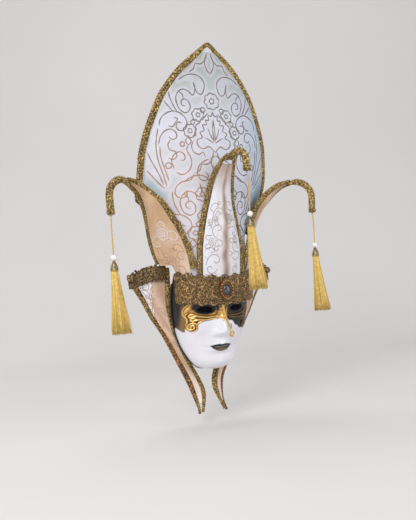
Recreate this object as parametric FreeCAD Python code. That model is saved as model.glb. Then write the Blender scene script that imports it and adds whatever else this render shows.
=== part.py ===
import FreeCAD, Part
import os, math

# Venetian masquerade mask: moulded face shell, tall fabric-covered crest panel, three horns with curled
# tips and hanging tassels, and two long side wings that meet below the chin.
# Units are millimetres, +Z up, the face looks along -Y, +X is to the right of a person who looks at the face.
# Shapes are described in a design frame with the bottom of the chin at Z = 0; every solid is then moved so
# that the origin is the middle of the hanger's hole.

V = FreeCAD.Vector
os.makedirs("parts", exist_ok=True)

# ---------------------------------------------------------------- driving dimensions
HOOK_Y, HOOK_Z = -50.8, 330.0      # middle of the hanger's hole, design frame
HOOK_R, HOOK_T = 3.0, 1.5          # hanger hole radius, hanger plate thickness
SHELL_T = 2.5                      # papier-mache wall
BOARD_T = 1.6                      # card core of panel, horns and wings
CLOTH_T = 0.5                      # damask, brocade and lining
GLUE = 0.06                        # gap between glued layers
PANEL_BASE_Z, PANEL_TOP_Z = 126.0, 569.0
PANEL_BRAID_A, PANEL_BRAID_B = 5.6, 3.0      # half width and half thickness of the panel's edge braid
HORN_BRAID_A, HORN_BRAID_B = 4.5, 2.7
WING_BRAID_A, WING_BRAID_B = 4.8, 2.7
BRAID_CORE_R, WIRE_R = 1.0, 0.8    # hole in the braid, wire in it
BRAID_CLEAR = 0.25                 # gap from braid to board edge
TIP_R, KNOB_R = 5.8, 6.6           # braid-covered curled tip and its end ring
EYE_X, EYE_Z, EYE_W, EYE_H = 31.0, 106.0, 27.0, 10.5
BAND_T = 1.9                       # forehead lace thickness
BAND_A, BAND_B, BAND_Y = 81.5, 54.7, -8.0    # half axes and middle of the forehead lace's curve
CORD_R, PEARL_R, KNOT_R = 1.1, 4.8, 1.9
CAP_H, CAP_R_TOP, CAP_R_BOT = 14.0, 2.4, 6.5
SKIRT_R_TOP, SKIRT_AX, SKIRT_AY = 6.3, 15.5, 12.0
SKIRT_DX, SKIRT_DY = 4.5, -2.5     # sweep of the skirt's bottom
# tassel pivots (X, Y, Z) and the drop from pivot to pearl centre, cap top and skirt bottom
TASSELS = {
    "left": (-203.0, -62.6, 268.6, 66.6, 187.0),
    "centre": (0.0, -156.3, 327.6, 68.6, 190.0),
    "right": (203.0, -62.6, 268.6, 59.6, 181.0),
}
ORIGIN = V(0.0, HOOK_Y, HOOK_Z)

# ---------------------------------------------------------------- small maths

def pchip(xs, ys):
    """Monotone cubic through a table; returns a function."""
    n = len(xs)
    h = [xs[i + 1] - xs[i] for i in range(n - 1)]
    d = [(ys[i + 1] - ys[i]) / h[i] for i in range(n - 1)]
    m = [0.0] * n
    m[0], m[-1] = d[0], d[-1]
    for i in range(1, n - 1):
        if d[i - 1] * d[i] > 0:
            w1, w2 = 2 * h[i] + h[i - 1], h[i] + 2 * h[i - 1]
            m[i] = (w1 + w2) / (w1 / d[i - 1] + w2 / d[i])
    def f(x):
        if x <= xs[0]:
            return ys[0] + m[0] * (x - xs[0])
        if x >= xs[-1]:
            return ys[-1] + m[-1] * (x - xs[-1])
        i = 0
        while x > xs[i + 1]:
            i += 1
        t = (x - xs[i]) / h[i]
        return ((1 + 2 * t) * (1 - t) ** 2 * ys[i] + t * (1 - t) ** 2 * h[i] * m[i]
                + t * t * (3 - 2 * t) * ys[i + 1] + t * t * (t - 1) * h[i] * m[i + 1])
    return f

def curve3(pts, par=None):
    """Catmull-Rom curve through 3-D points; parameter 0..1."""
    n = len(pts)
    if par is None:
        par = [0.0]
        for i in range(n - 1):
            par.append(par[-1] + math.dist(pts[i], pts[i + 1]))
    tot = par[-1]
    par = [p / tot for p in par]
    m = []
    for i in range(n):
        if i == 0:
            m.append([(pts[1][k] - pts[0][k]) / (par[1] - par[0]) for k in range(3)])
        elif i == n - 1:
            m.append([(pts[-1][k] - pts[-2][k]) / (par[-1] - par[-2]) for k in range(3)])
        else:
            a, b = par[i] - par[i - 1], par[i + 1] - par[i]
            m.append([((pts[i][k] - pts[i - 1][k]) / a * b + (pts[i + 1][k] - pts[i][k]) / b * a) / (a + b) for k in range(3)])
    def f(t):
        t = min(max(t, 0.0), 1.0)
        i = 0
        while i < n - 2 and t > par[i + 1]:
            i += 1
        h = par[i + 1] - par[i]
        s = (t - par[i]) / h
        c0, c1, c2, c3 = (1 + 2 * s) * (1 - s) ** 2, s * (1 - s) ** 2 * h, s * s * (3 - 2 * s), s * s * (s - 1) * h
        return [c0 * pts[i][k] + c1 * m[i][k] + c2 * pts[i + 1][k] + c3 * m[i + 1][k] for k in range(3)]
    f.par = par
    return f

def sub(a, b): return [a[0] - b[0], a[1] - b[1], a[2] - b[2]]
def add(a, b, k=1.0): return [a[0] + k * b[0], a[1] + k * b[1], a[2] + k * b[2]]
def cross(a, b): return [a[1] * b[2] - a[2] * b[1], a[2] * b[0] - a[0] * b[2], a[0] * b[1] - a[1] * b[0]]
def norm(a): return math.sqrt(a[0] ** 2 + a[1] ** 2 + a[2] ** 2)
def unit(a):
    n = norm(a) or 1.0
    return [a[0] / n, a[1] / n, a[2] / n]
def lerp(a, b, t): return a + (b - a) * t
def smooth(a, b, x):
    t = min(max((x - a) / (b - a), 0.0), 1.0)
    return t * t * (3 - 2 * t)
def gauss(d, w): return math.exp(-(d / w) ** 2)

def normal_of(F, s, t, flip):
    e = 1e-3
    s0, s1, t0, t1 = max(s - e, 0.0), min(s + e, 1.0), max(t - e, 0.0), min(t + e, 1.0)
    n = unit(cross(sub(F(s1, t), F(s0, t)), sub(F(s, t1), F(s, t0))))
    return [-c for c in n] if flip else n

# ---------------------------------------------------------------- solid makers

def closed_solid(faces):
    c = Part.Compound(faces)
    c.sewShape(1e-4)
    sh = c if c.ShapeType == "Shell" else (c.Shells[0] if c.Shells else Part.Shell(c.Faces))
    s = Part.Solid(sh)
    if s.Volume < 0:
        s.reverse()
    return s

def slab(F, ns, nt, o0, o1, flip=False, S=None, T=None):
    """Closed solid between two offsets of the surface F(s, t); S and T are optional parameter lists.
    S may be a function of t that gives the first and last s."""
    rows0, rows1 = [], []
    for j in range(nt):
        t = T(j / (nt - 1)) if T else j / (nt - 1)
        sa, sb = S(t) if S else (0.0, 1.0)
        r0, r1 = [], []
        for i in range(ns):
            s = lerp(sa, sb, i / (ns - 1))
            p, n = F(s, t), normal_of(F, s, t, flip)
            r0.append(V(*add(p, n, o0)))
            r1.append(V(*add(p, n, o1)))
        rows0.append(r0)
        rows1.append(r1)
    fs = []
    for rows in (rows0, rows1):
        b = Part.BSplineSurface()
        b.interpolate(rows)
        fs.append(b.toShape())
    sides = [Part.makeRuledSurface(fs[0].Edges[i], fs[1].Edges[i]) for i in range(4)]
    return closed_solid(fs + sides)

def ring(c, u, v, a, b, n=12):
    pts = [V(*add(add(c, u, a * math.cos(2 * math.pi * k / n)), v, b * math.sin(2 * math.pi * k / n))) for k in range(n)]
    bs = Part.BSplineCurve()
    bs.interpolate(Points=pts, PeriodicFlag=True)
    return Part.Wire([bs.toShape()])

def tube(path, a, b, n, ref=None, t0=0.0, t1=1.0, core=None):
    """Loft of elliptical rings along path(t). ref(t) is the direction of the b axis; a and b may be functions."""
    fa = a if callable(a) else (lambda t: a)
    fb = b if callable(b) else (lambda t: b)
    outer, inner = [], []
    last = None
    for k in range(n):
        t = lerp(t0, t1, k / (n - 1))
        e = 2e-3
        tan = unit(sub(path(min(t + e, 1.0)), path(max(t - e, 0.0))))
        r = ref(t) if ref else (last or [0.13, 0.97, 0.2])
        d = sum(r[i] * tan[i] for i in range(3))
        nv = unit(add(r, tan, -d))
        last = nv
        uv = unit(cross(tan, nv))
        c = path(t)
        outer.append(ring(c, uv, nv, fa(t), fb(t)))
        if core:
            cc = c
            if k == 0:
                cc = add(c, tan, -0.5)
            if k == n - 1:
                cc = add(c, tan, 0.5)
            inner.append(ring(cc, uv, nv, core, core, 8))
    s = Part.makeLoft(outer, True, False)
    if core:
        s = s.cut(Part.makeLoft(inner, True, False))
    return s

def round_rod(path, r, n, t0=0.0, t1=1.0):
    return tube(path, r, r, n, None, t0, t1)

def revolve(profile, c=(0, 0, 0)):
    """Solid of revolution about a vertical axis through c; profile is a list of (r, z)."""
    pts = [V(c[0] + r, c[1], c[2] + z) for r, z in profile]
    w = Part.makePolygon(pts + [pts[0]])
    return Part.Face(w).revolve(V(*c), V(0, 0, 1), 360)

def prism_xz(pts, y0, y1):
    """Prism along Y over a smooth closed outline in X, Z."""
    bs = Part.BSplineCurve()
    bs.interpolate(Points=[V(x, y0, z) for x, z in pts], PeriodicFlag=True)
    return Part.Face(Part.Wire([bs.toShape()])).extrude(V(0, y1 - y0, 0))

def one(sh):
    s = sh.Solids
    return s[0] if len(s) == 1 else Part.Compound(s)

def mirror(sh):
    return sh.mirror(V(0, 0, 0), V(1, 0, 0))

NODES = {}
def put(name, sh):
    NODES[name] = sh

# ---------------------------------------------------------------- the face shell
PROFILE = [(12.0, 1.0), (2.0, -1.5), (-9.0, -1.5), (-18.0, 0.5), (-25.5, 5.0), (-29.5, 12.0), (-30.5, 20.0), (-31.5, 30.0),
           (-34.0, 39.0), (-36.5, 48.0), (-38.5, 58.0), (-41.0, 70.0), (-43.5, 85.0), (-46.0, 100.0), (-49.5, 112.0),
           (-52.2, 122.0), (-53.2, 135.0), (-53.1, 150.0), (-51.6, 162.0), (-49.2, 172.0)]
RIM = [(27.0, 13.5, 7.0), (30.5, 13.2, 9.0), (34.0, 13.0, 11.5), (38.0, 12.8, 15.0), (42.0, 12.5, 19.5), (46.0, 12.2, 25.0),
       (50.0, 12.0, 31.0), (54.0, 11.5, 38.0), (58.0, 11.0, 46.0), (61.5, 10.3, 54.0), (64.5, 9.6, 62.0), (67.5, 8.6, 73.0),
       (70.3, 7.2, 86.0), (72.2, 5.8, 100.0), (73.0, 4.8, 111.0), (73.3, 3.8, 121.0), (73.0, 2.6, 133.0), (71.8, 1.0, 147.0),
       (70.2, -0.8, 159.0), (68.5, -3.0, 170.0)]
prof_c = curve3([(0.0, y, z) for y, z in PROFILE])
rim_c = curve3(RIM, par=list(prof_c.par))
NOSE_H = pchip([50, 54, 57, 59.5, 62, 65, 69, 75, 82, 90, 98, 105, 112, 118], [0, 0, 2.0, 7.0, 12.5, 16.0, 16.8, 15.0, 12.2, 9.2, 6.2, 3.4, 1.0, 0])
NOSE_W = pchip([50, 60, 66, 75, 90, 105, 118], [13, 13, 10.5, 8.6, 7.6, 7.2, 7.0])

def relief(x, z):
    """Height of the features over the plain form, forward."""
    ax = abs(x)
    h = NOSE_H(min(max(z, 50), 118)) * math.exp(-(ax / NOSE_W(min(max(z, 50), 118))) ** 2.2)
    h += 3.6 * gauss(ax - 11.5, 5.0) * gauss(z - 64.5, 5.5)
    h += 2.4 * gauss(z - 118.0 - 0.06 * (ax - 20), 6.5) * smooth(4, 16, ax) * (1 - smooth(44, 60, ax))
    h -= 5.5 * gauss(ax - 30.0, 15.0) * gauss(z - 107.0, 9.5)
    h += 3.6 * gauss(ax - 31.0, 12.0) * gauss(z - 105.5, 8.0)
    h += 2.8 * gauss(ax - 41.0, 17.0) * gauss(z - 82.0, 15.0)
    h += 2.6 * gauss(ax, 26.0) * gauss(z - 40.0, 14.0)
    h += 3.0 * gauss(ax, 18.0) * gauss(z - 44.0, 3.8)
    h += 3.6 * gauss(ax, 15.5) * gauss(z - 34.5, 4.6)
    h -= 2.0 * gauss(ax, 22.0) * gauss(z - 39.2, 1.9)
    h -= 0.9 * gauss(ax, 3.2) * gauss(z - 50.5, 5.0)
    h -= 1.8 * gauss(ax, 17.0) * gauss(z - 25.5, 4.5)
    h += 3.6 * gauss(ax, 14.0) * gauss(z - 13.0, 9.0)
    return h

def face(s, t):
    """Outer surface of the face; s runs across, t from chin to forehead."""
    th = (s - 0.5) * math.pi
    w, yr, zr = rim_c(t)
    _, yp, zp = prof_c(t)
    c, sn = math.cos(th), math.sin(th)
    x = w * (sn + 0.05 * math.sin(2 * th))
    y = yr + (yp - yr) * c
    z = zr + (zp - zr) * c
    fade = smooth(0.0, 0.12, c)
    return [x, y - relief(x, z) * fade, z]

shell = slab(face, 57, 57, 0.0, -SHELL_T, flip=False)

def almond(cx, cz, w, h, side):
    """Almond outline; the outer corner sits a little higher."""
    out = []
    for k in range(20):
        a = 2 * math.pi * k / 20
        x = 0.5 * w * math.cos(a)
        z = 0.5 * h * math.sin(a) * (abs(math.sin(a)) ** 0.25) * (1.0 if math.sin(a) > 0 else 0.85)
        z += 0.05 * x
        out.append((side * (cx + x), cz + z))
    return out

eye_cut = [prism_xz(almond(EYE_X, EYE_Z, EYE_W, EYE_H, sd), -95.0, -12.0) for sd in (1, -1)]
for p in eye_cut:
    shell = shell.cut(p)
put("mask_shell", one(shell))

# black edging that runs round the rim, outside the wall
def rim_path(t):
    """Down the left side, round the chin and up the right side, at the rim."""
    if t < 0.4:
        q = 1 - t / 0.4
        p = face(0.0, q); n = normal_of(face, 0.0, q, False)
    elif t > 0.6:
        q = (t - 0.6) / 0.4
        p = face(1.0, q); n = normal_of(face, 1.0, q, False)
    else:
        q = (t - 0.4) / 0.2
        p = face(q, 0.0); n = normal_of(face, q, 0.0, False)
    return p, n

def side_rim(sgn):
    def f(t):
        s = 0.008 if sgn < 0 else 0.992
        p, n = face(s, t), normal_of(face, s, t, False)
        return add(p, n, 1.75)
    return f
bind = []
for sgn in (-1, 1):
    bind.append(round_rod(side_rim(sgn), 1.6, 30, 0.035, 0.93))
def chin_rim(q):
    s = 0.05 + 0.9 * q
    p, n = face(s, 0.012), normal_of(face, s, 0.012, False)
    return add(p, n, 1.75)
bind.append(round_rod(chin_rim, 1.6, 18, 0.0, 1.0))
put("rim_binding", Part.Compound([b.Solids[0] for b in bind]))

# black gauze behind the eye openings
veil_sheet = slab(lambda s, t: face(lerp(0.12, 0.88, s), lerp(0.45, 0.8, t)), 41, 25, -SHELL_T - 0.1, -SHELL_T - 0.5)
veils = [veil_sheet.common(prism_xz(almond(EYE_X, EYE_Z, EYE_W + 9, EYE_H + 9, sd), -95.0, -5.0)).Solids[0] for sd in (1, -1)]
put("eye_veils", Part.Compound(veils))

# raised gilt work round each eye, with a scroll on the cheek
gilt_sheet = slab(face, 57, 57, 0.08, 1.2)
GILT = [(6, 98), (6.5, 108), (11, 117), (22, 123), (36, 124), (50, 122), (61, 117), (66.5, 108), (66, 98), (61, 90), (62, 81), (58, 72),
        (50, 68.5), (43.5, 73), (44, 80), (39, 84.5), (29, 86.5), (19, 87.5), (11, 91)]
for side, sd in (("left", -1), ("right", 1)):
    g = gilt_sheet.common(prism_xz([(sd * x, z) for x, z in GILT], -95.0, 3.0))
    g = g.cut(prism_xz(almond(EYE_X, EYE_Z, EYE_W + 2.4, EYE_H + 2.6, sd), -95.0, -5.0))
    put("gilt_relief_" + side, one(g))
SCROLL = [(17, 56), (20, 52.5), (25, 52), (29, 55), (29.5, 60), (26, 64), (21, 65.5), (18.5, 70), (19, 77), (16.8, 79), (15.2, 74), (15.5, 66), (16.2, 60)]
put("nose_scroll", one(gilt_sheet.common(prism_xz(SCROLL, -95.0, 3.0))))

# ---------------------------------------------------------------- the tall panel
HW = pchip([120, 165, 195, 217, 241, 262, 279, 289, 297, 303, 320, 342, 376, 408, 440, 475, 500, 525, 536, 548, 560, 569],
           [52, 54, 57, 62, 72, 86, 100, 111.5, 121, 126.5, 128.5, 127.8, 125.3, 118.6, 107.2, 91.5, 74.5, 52.5, 40.0, 26.3, 12.8, 3.6])
PY0 = pchip([120, 160, 200, 240, 600], [-57, -57, -60, -61, -61])
PC = pchip([120, 165, 200, 250, 275, 289, 299, 320, 342, 376, 408, 475, 600],
           [0.0048, 0.0048, 0.0051, 0.0050, 0.0046, 0.0042, 0.0038, 0.0031, 0.0026, 0.00225, 0.00195, 0.0018, 0.0018])

def panel(s, t):
    """Front face of the panel's damask; s across from -X to +X, t from base to apex."""
    z = lerp(PANEL_BASE_Z, PANEL_TOP_Z, t)
    x = (2 * s - 1) * HW(z)
    return [x, PY0(z) + PC(z) * x * x, z]

def inset_S(F, ia, ib, wmin=2.0):
    """Parameter span of the board that leaves ia and ib millimetres along the first and last edge."""
    def f(t):
        ch = sub(F(1.0, t), F(0.0, t))
        w = norm(ch)
        a = ia(t) if callable(ia) else ia
        b = ib(t) if callable(ib) else ib
        ch = unit(ch)
        e = 4e-3
        out = []
        for s, k in ((0.0, a), (1.0, b)):
            # the inset is square to the edge, which may run slantwise to the chord
            tan = unit(sub(F(s, min(t + e, 1.0)), F(s, max(t - e, 0.0))))
            out.append(k / max(norm(cross(tan, ch)), 0.35) / w)
        m = 1.2 / w                                 # never less than 2.4 mm of board left
        if out[0] + out[1] > 1 - 2 * m:
            k = (1 - 2 * m) / (out[0] + out[1])
            out = [out[0] * k, out[1] * k]
        return out[0], 1 - out[1]
    return f

def stack(name, F, S, T, ns, nt, flip, front, names):
    """Front cloth, board and back lining as three offset slabs; the cloth's front face lies on F."""
    o = 0.0
    for part, th in zip(names, (CLOTH_T, BOARD_T, CLOTH_T)):
        put(name + part, slab(F, ns, nt, -o, -(o + th), flip, S, T))
        o += th + GLUE

p_in = PANEL_BRAID_A + BRAID_CLEAR
def panel_T(u):
    return lerp(0.0, 0.968, u)
def panel_inset(t):
    z = lerp(PANEL_BASE_Z, PANEL_TOP_Z, t)
    return lerp(1.0, p_in + 0.15, smooth(214, 234, z))   # no braid below, behind the horns
stack("panel_", panel, inset_S(panel, panel_inset, panel_inset), panel_T, 27, 61, False, 0, ("damask", "board", "lining"))

def mid_off(F, s, t, flip, d):
    return add(F(s, t), normal_of(F, s, t, flip), d)
MID = -(CLOTH_T + GLUE + 0.5 * BOARD_T)
def panel_edge(s):
    return lambda t: mid_off(panel, s, t, False, MID)
braids = []
for s in (0.0, 1.0):
    braids.append(tube(panel_edge(s), lambda t: PANEL_BRAID_A * (1 - 0.42 * smooth(0.93, 1.0, t)), PANEL_BRAID_B, 46,
                       (lambda s_: (lambda t: normal_of(panel, s_, t, False)))(s), (237.0 - PANEL_BASE_Z) / (PANEL_TOP_Z - PANEL_BASE_Z), 0.992))
put("panel_braid", Part.Compound([b.Solids[0] for b in braids]))

# stay wire on the back of the panel: a long hairpin
stay_r = 1.0
def stay(t):
    """Up one side, over, and down the other, on the back of the lining."""
    off = -(2 * CLOTH_T + BOARD_T + 2 * GLUE + 0.35 + stay_r)
    pts = []
    for k in range(19):
        z = lerp(205.0, 470.0, k / 18.0)
        pts.append((-26.0 - 22.0 * math.sin(math.pi * k / 18.0), z))
    top = [(-20, 484), (-10.5, 492.5), (0, 495.5), (10.5, 492.5), (20, 484)]
    pts = pts + top + [(-x, z) for x, z in reversed(pts)]
    return pts, off
_pts, _off = stay(0)
def on_panel(x, z, off):
    t = (z - PANEL_BASE_Z) / (PANEL_TOP_Z - PANEL_BASE_Z)
    s = 0.5 * (x / HW(z) + 1)
    return add(panel(s, t), normal_of(panel, s, t, False), off)
stay_c = curve3([on_panel(x, z, _off) for x, z in _pts])
put("panel_stay", round_rod(stay_c, stay_r, 70))

# hanger on the back of the panel: a stepped brass strip with two rivets
back_y = PY0(310.0) + 2 * CLOTH_T + BOARD_T + 2 * GLUE
hy0 = back_y + 0.32
base = Part.makeBox(14, HOOK_T, 24, V(-7, hy0, 296))
tab = Part.makeBox(14, HOOK_T, 20, V(-7, HOOK_Y - HOOK_T / 2, 318.8))
riser = Part.makeBox(14, HOOK_Y + HOOK_T / 2 - hy0, HOOK_T, V(-7, hy0, 318.8))
hanger = base.fuse([tab, riser]).removeSplitter()
hanger = hanger.cut(Part.makeCylinder(HOOK_R, 10, V(0, HOOK_Y - 5, HOOK_Z), V(0, 1, 0)))
rivets = []
for z in (301.5, 311.5):
    hole = Part.makeCylinder(1.62, 8, V(0, back_y - 2.3, z), V(0, 1, 0))
    hanger = hanger.cut(hole)
    for nm in ("panel_board", "panel_lining"):
        NODES[nm] = NODES[nm].cut(hole)
    sh = Part.makeCylinder(1.5, hy0 + HOOK_T + 0.15 - (back_y - 2.0), V(0, back_y - 2.0, z), V(0, 1, 0))
    hd = Part.makeCone(2.9, 1.6, 1.1, V(0, hy0 + HOOK_T + 0.1, z), V(0, 1, 0))
    rivets.append(sh.fuse(hd))
put("hanger_plate", one(hanger))
put("hanger_rivets", Part.Compound([r.Solids[0] for r in rivets]))

# ---------------------------------------------------------------- the horns
# centre horn: half width, edge Y, bulge of the middle, Z
CH = [(42.6, -52.0, 8.3, 128.0), (42.8, -52.3, 8.5, 150.0), (43.0, -53.4, 9.1, 172.0), (43.0, -55.5, 10.8, 191.0), (42.4, -57.6, 11.9, 214.0),
      (36.6, -59.5, 12.0, 248.0), (30.4, -62.5, 10.5, 277.0), (26.4, -66.0, 9.0, 295.0), (23.8, -71.0, 7.5, 311.0), (20.6, -79.5, 5.5, 329.0),
      (16.8, -91.0, 4.0, 344.5), (12.2, -103.5, 2.6, 356.5), (9.4, -111.5, 1.8, 361.3)]
ch_c = curve3([(a, y, z) for a, y, b, z in CH])
ch_b = pchip(list(ch_c.par), [b for a, y, b, z in CH])
def horn_centre(s, t):
    w, y, z = ch_c(t)
    k = 2 * s - 1
    # the middle stands forward of the edges, square to the horn's own slope
    e = 1e-3
    d = sub(ch_c(min(t + e, 1)), ch_c(max(t - e, 0)))
    d = unit([0.0, d[1], d[2]])
    b = ch_b(t) * (1 - k * k)
    return [k * w, y - d[2] * b, z + d[1] * b]

IN = [(52.6, -47.4, 128.0), (53.0, -48.2, 155.0), (54.8, -51.8, 181.0), (60.5, -52.2, 210.0), (71.8, -48.0, 245.0), (82.0, -44.5, 265.0),
      (91.0, -42.6, 282.0), (102.0, -42.6, 297.0), (117.3, -42.2, 310.0), (135.6, -44.6, 321.6), (152.0, -48.6, 327.6), (165.0, -51.0, 330.0)]
OUT = [(92.5, 5.5, 187.0), (94.5, 8.5, 196.0), (97.5, 11.0, 206.0), (102.0, 11.0, 221.0), (107.5, 7.2, 240.0), (112.6, 1.0, 260.0),
       (120.5, -9.6, 279.0), (130.2, -21.5, 294.0), (140.4, -29.5, 307.5), (152.6, -35.0, 318.0), (160.5, -39.0, 322.6), (167.5, -43.0, 325.4)]
in_c = curve3(IN, par=[0, 1, 2, 3, 4, 5, 6, 7, 8, 9, 10, 11])
out_c = curve3(OUT, par=[0, 1, 2, 3, 4, 5, 6, 7, 8, 9, 10, 11])
sh_b = pchip([0, 0.3, 0.6, 0.85, 1.0], [4.0, 7.5, 8.5, 4.0, 1.0])
def horn_side(s, t):
    """Horn on the +X side; s from inner to outer edge, t from base to neck."""
    a, b = in_c(t), out_c(t)
    p = [lerp(a[k], b[k], s) for k in range(3)]
    if t < 0.2:                                    # the base edge steps up over the wing
        zb = lerp(a[2], b[2], smooth(0.22, 0.6, s))
        p[2] = lerp(zb, p[2], smooth(0.0, 0.2, t))
    d = unit([b[1] - a[1], -(b[0] - a[0]), 0.0])   # outward and forward, level
    bl = sh_b(t) * 4 * s * (1 - s)
    return [p[0] + d[0] * bl, p[1] + d[1] * bl, p[2]]

def horn_set(name, F, flip, t_end, ns, nt, t_braid, tipc, mir=False):
    """Cloth, board, lining, two edge braids with a wire in each, and the curled tip."""
    a_of = lambda t: HORN_BRAID_A * (1 - 0.4 * smooth(0.8, 1.0, t))
    ins = lambda t: a_of(t) + BRAID_CLEAR + 0.2 + 0.7 * smooth(0.55, 0.8, t)
    before = set(NODES)
    stack(name + "_", F, inset_S(F, ins, ins), lambda u: lerp(0.0, t_end, u), ns, nt, flip, 0, ("brocade", "board", "lining"))
    br, wi = [], []
    for s in (0.0, 1.0):
        path = (lambda s_: (lambda t: mid_off(F, s_, t, flip, MID)))(s)
        ref = (lambda s_: (lambda t: normal_of(F, s_, t, flip)))(s)
        br.append(tube(path, a_of, lambda t: HORN_BRAID_B * (1 - 0.12 * smooth(0.8, 1.0, t)), 34, ref, t_braid[int(s)], 1.0, core=BRAID_CORE_R))
        wi.append(round_rod(path, WIRE_R, 34, t_braid[int(s)] + 0.004, 0.996))
    tc = curve3(tipc)
    tip = tube(tc, TIP_R, TIP_R, 26, None, 0.0, 1.0, core=BRAID_CORE_R + 0.4)
    e0 = tipc[-1]
    knob = revolve([(1.4, -1.4), (KNOB_R - 1.6, -1.4), (KNOB_R, 0.4), (KNOB_R, 5.2), (KNOB_R - 1.6, 7.0), (TIP_R + 0.15, 7.0), (TIP_R + 0.15, 0.2), (1.4, 0.2)], (e0[0], e0[1], e0[2] - 0.3))
    wi.append(round_rod(tc, WIRE_R, 26, 0.01, 0.99))
    put(name + "_braid", Part.Compound([b.Solids[0] for b in br]))
    put(name + "_wires", Part.Compound([b.Solids[0] for b in wi]))
    put(name + "_tip", Part.Compound([tip.Solids[0], knob.Solids[0]]))
    return [n for n in NODES if n not in before]

CTIP = [(0, -117.8, 364.0), (0, -124.0, 365.8), (0, -132.0, 366.2), (0, -140.0, 364.6), (0, -147.5, 361.0), (0, -153.3, 355.0), (0, -156.0, 347.5), (0, -156.4, 340.0), (0, -156.3, 331.6)]
horn_set("horn_centre", horn_centre, False, 0.93, 21, 41, (0.155, 0.155), CTIP)
STIP = [(173.2, -50.8, 329.4), (179.0, -53.6, 329.3), (185.5, -56.2, 327.6), (191.8, -58.6, 324.2), (197.6, -60.6, 318.8), (201.8, -62.2, 311.6), (203.6, -62.9, 303.0), (203.4, -62.8, 292.0), (203.0, -62.6, 281.0), (203.0, -62.6, 272.6)]
made = horn_set("horn_right", horn_side, False, 0.955, 21, 45, (0.175, 0.045), STIP)
for n in made:
    put(n.replace("right", "left"), mirror(NODES[n]))

# ---------------------------------------------------------------- the wings
W_IN = [(73.5, 10.0, 184.0), (73.6, 9.5, 168.0), (74.2, 9.2, 148.0), (75.0, 9.0, 128.0), (74.6, 9.2, 108.0), (71.2, 10.0, 88.0), (66.0, 11.4, 71.0),
        (60.0, 13.0, 57.0), (50.5, 16.6, 38.0), (40.5, 20.5, 20.0), (30.5, 25.5, 4.0), (21.5, 27.5, -10.0), (15.5, 24.0, -25.0), (13.0, 18.6, -38.0),
        (14.2, 13.6, -48.5), (16.9, 10.4, -58.0), (20.4, 7.4, -69.0), (23.2, 5.6, -77.5)]
W_OUT = [(141.5, 18.6, 175.0), (141.0, 18.7, 166.0), (134.0, 19.4, 153.5), (126.5, 20.2, 141.0), (118.0, 21.4, 126.5), (109.5, 22.2, 110.0), (101.0, 22.6, 94.0),
         (92.0, 22.8, 80.0), (79.0, 23.2, 59.0), (66.5, 24.6, 35.5), (54.5, 27.2, 13.5), (44.0, 29.0, -6.0), (36.6, 29.0, -22.0), (32.2, 26.4, -36.0),
         (29.6, 23.0, -49.0), (27.8, 18.0, -61.5), (27.6, 11.5, -72.0), (28.6, 7.6, -80.0)]
wi_c = curve3(W_IN, par=list(range(18)))
wo_c = curve3(W_OUT, par=list(range(18)))
def wing(s, t):
    """Wing on the +X side; s from inner to outer edge, t from top to tip."""
    a, b = wi_c(t), wo_c(t)
    p = [lerp(a[k], b[k], s) for k in range(3)]
    bl = 3.0 * 4 * s * (1 - s) * (1 - smooth(0.75, 1.0, t))
    return [p[0], p[1] - bl, p[2]]

wa_of = lambda t: WING_BRAID_A * (1 - 0.52 * smooth(0.72, 0.98, t))
w_ins = lambda t: wa_of(t) + BRAID_CLEAR + 1.35
before = set(NODES)
stack("wing_right_", wing, inset_S(wing, w_ins, w_ins), lambda u: lerp(0.0, 0.90, u), 21, 51, True, 0, ("brocade", "board", "lining"))
br = []
for s in (0.0, 1.0):
    path = (lambda s_: (lambda t: mid_off(wing, s_, t, True, MID)))(s)
    ref = (lambda s_: (lambda t: normal_of(wing, s_, t, True)))(s)
    br.append(tube(path, wa_of, lambda t: WING_BRAID_B * (1 - 0.3 * smooth(0.75, 1.0, t)), 44, ref, 0.003, 0.997))
put("wing_right_braid", Part.Compound([b.Solids[0] for b in br]))
# lace strip along the wing's top edge, in front of the brocade
LACE_TOP = pchip([70, 90, 106, 122, 130, 145], [186.5, 187.5, 186.5, 183.0, 178.5, 174.0])
LACE_BOT = pchip([70, 80, 104, 117, 130.5, 145], [161.0, 161.5, 162.0, 158.5, 154.0, 150.0])
def wing_y(x):
    return lerp(9.5, 18.8, (x - 73.5) / 68.0) - 3.0 * 4 * ((x - 73.5) / 68.0) * (1 - (x - 73.5) / 68.0)
def wing_lace(s, t):
    x = lerp(77.5, 146.0, s)
    sc = 1.3 * math.sin(2 * math.pi * 8 * s)
    z = lerp(LACE_BOT(x) - 0.6 * sc, LACE_TOP(x) + sc, t)
    return [x, wing_y(min(max(x, 73.5), 141.5)) - 2.9 - 0.6 * smooth(120, 132, x), z]
put("wing_right_lace", slab(wing_lace, 65, 7, 0.0, 1.7, True))
for n in [n for n in NODES if n not in before]:
    put(n.replace("right", "left"), mirror(NODES[n]))

# ---------------------------------------------------------------- forehead lace and brooch
def band(s, t):
    a = math.radians(lerp(-73.0, 73.0, s))
    x = BAND_A * math.sin(a)
    y = BAND_Y - BAND_B * math.cos(a)
    r = (x / BAND_A) ** 2
    top = 162.0 + 12.0 * r + 2.2 * math.cos(2 * math.pi * 9 * s + math.pi)
    bot = 113.5 + 8.0 * r + 1.4 * math.cos(2 * math.pi * 9 * s)
    return [x, y, lerp(bot, top, t)]
put("forehead_lace", slab(band, 91, 9, 0.0, BAND_T, False))

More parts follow.
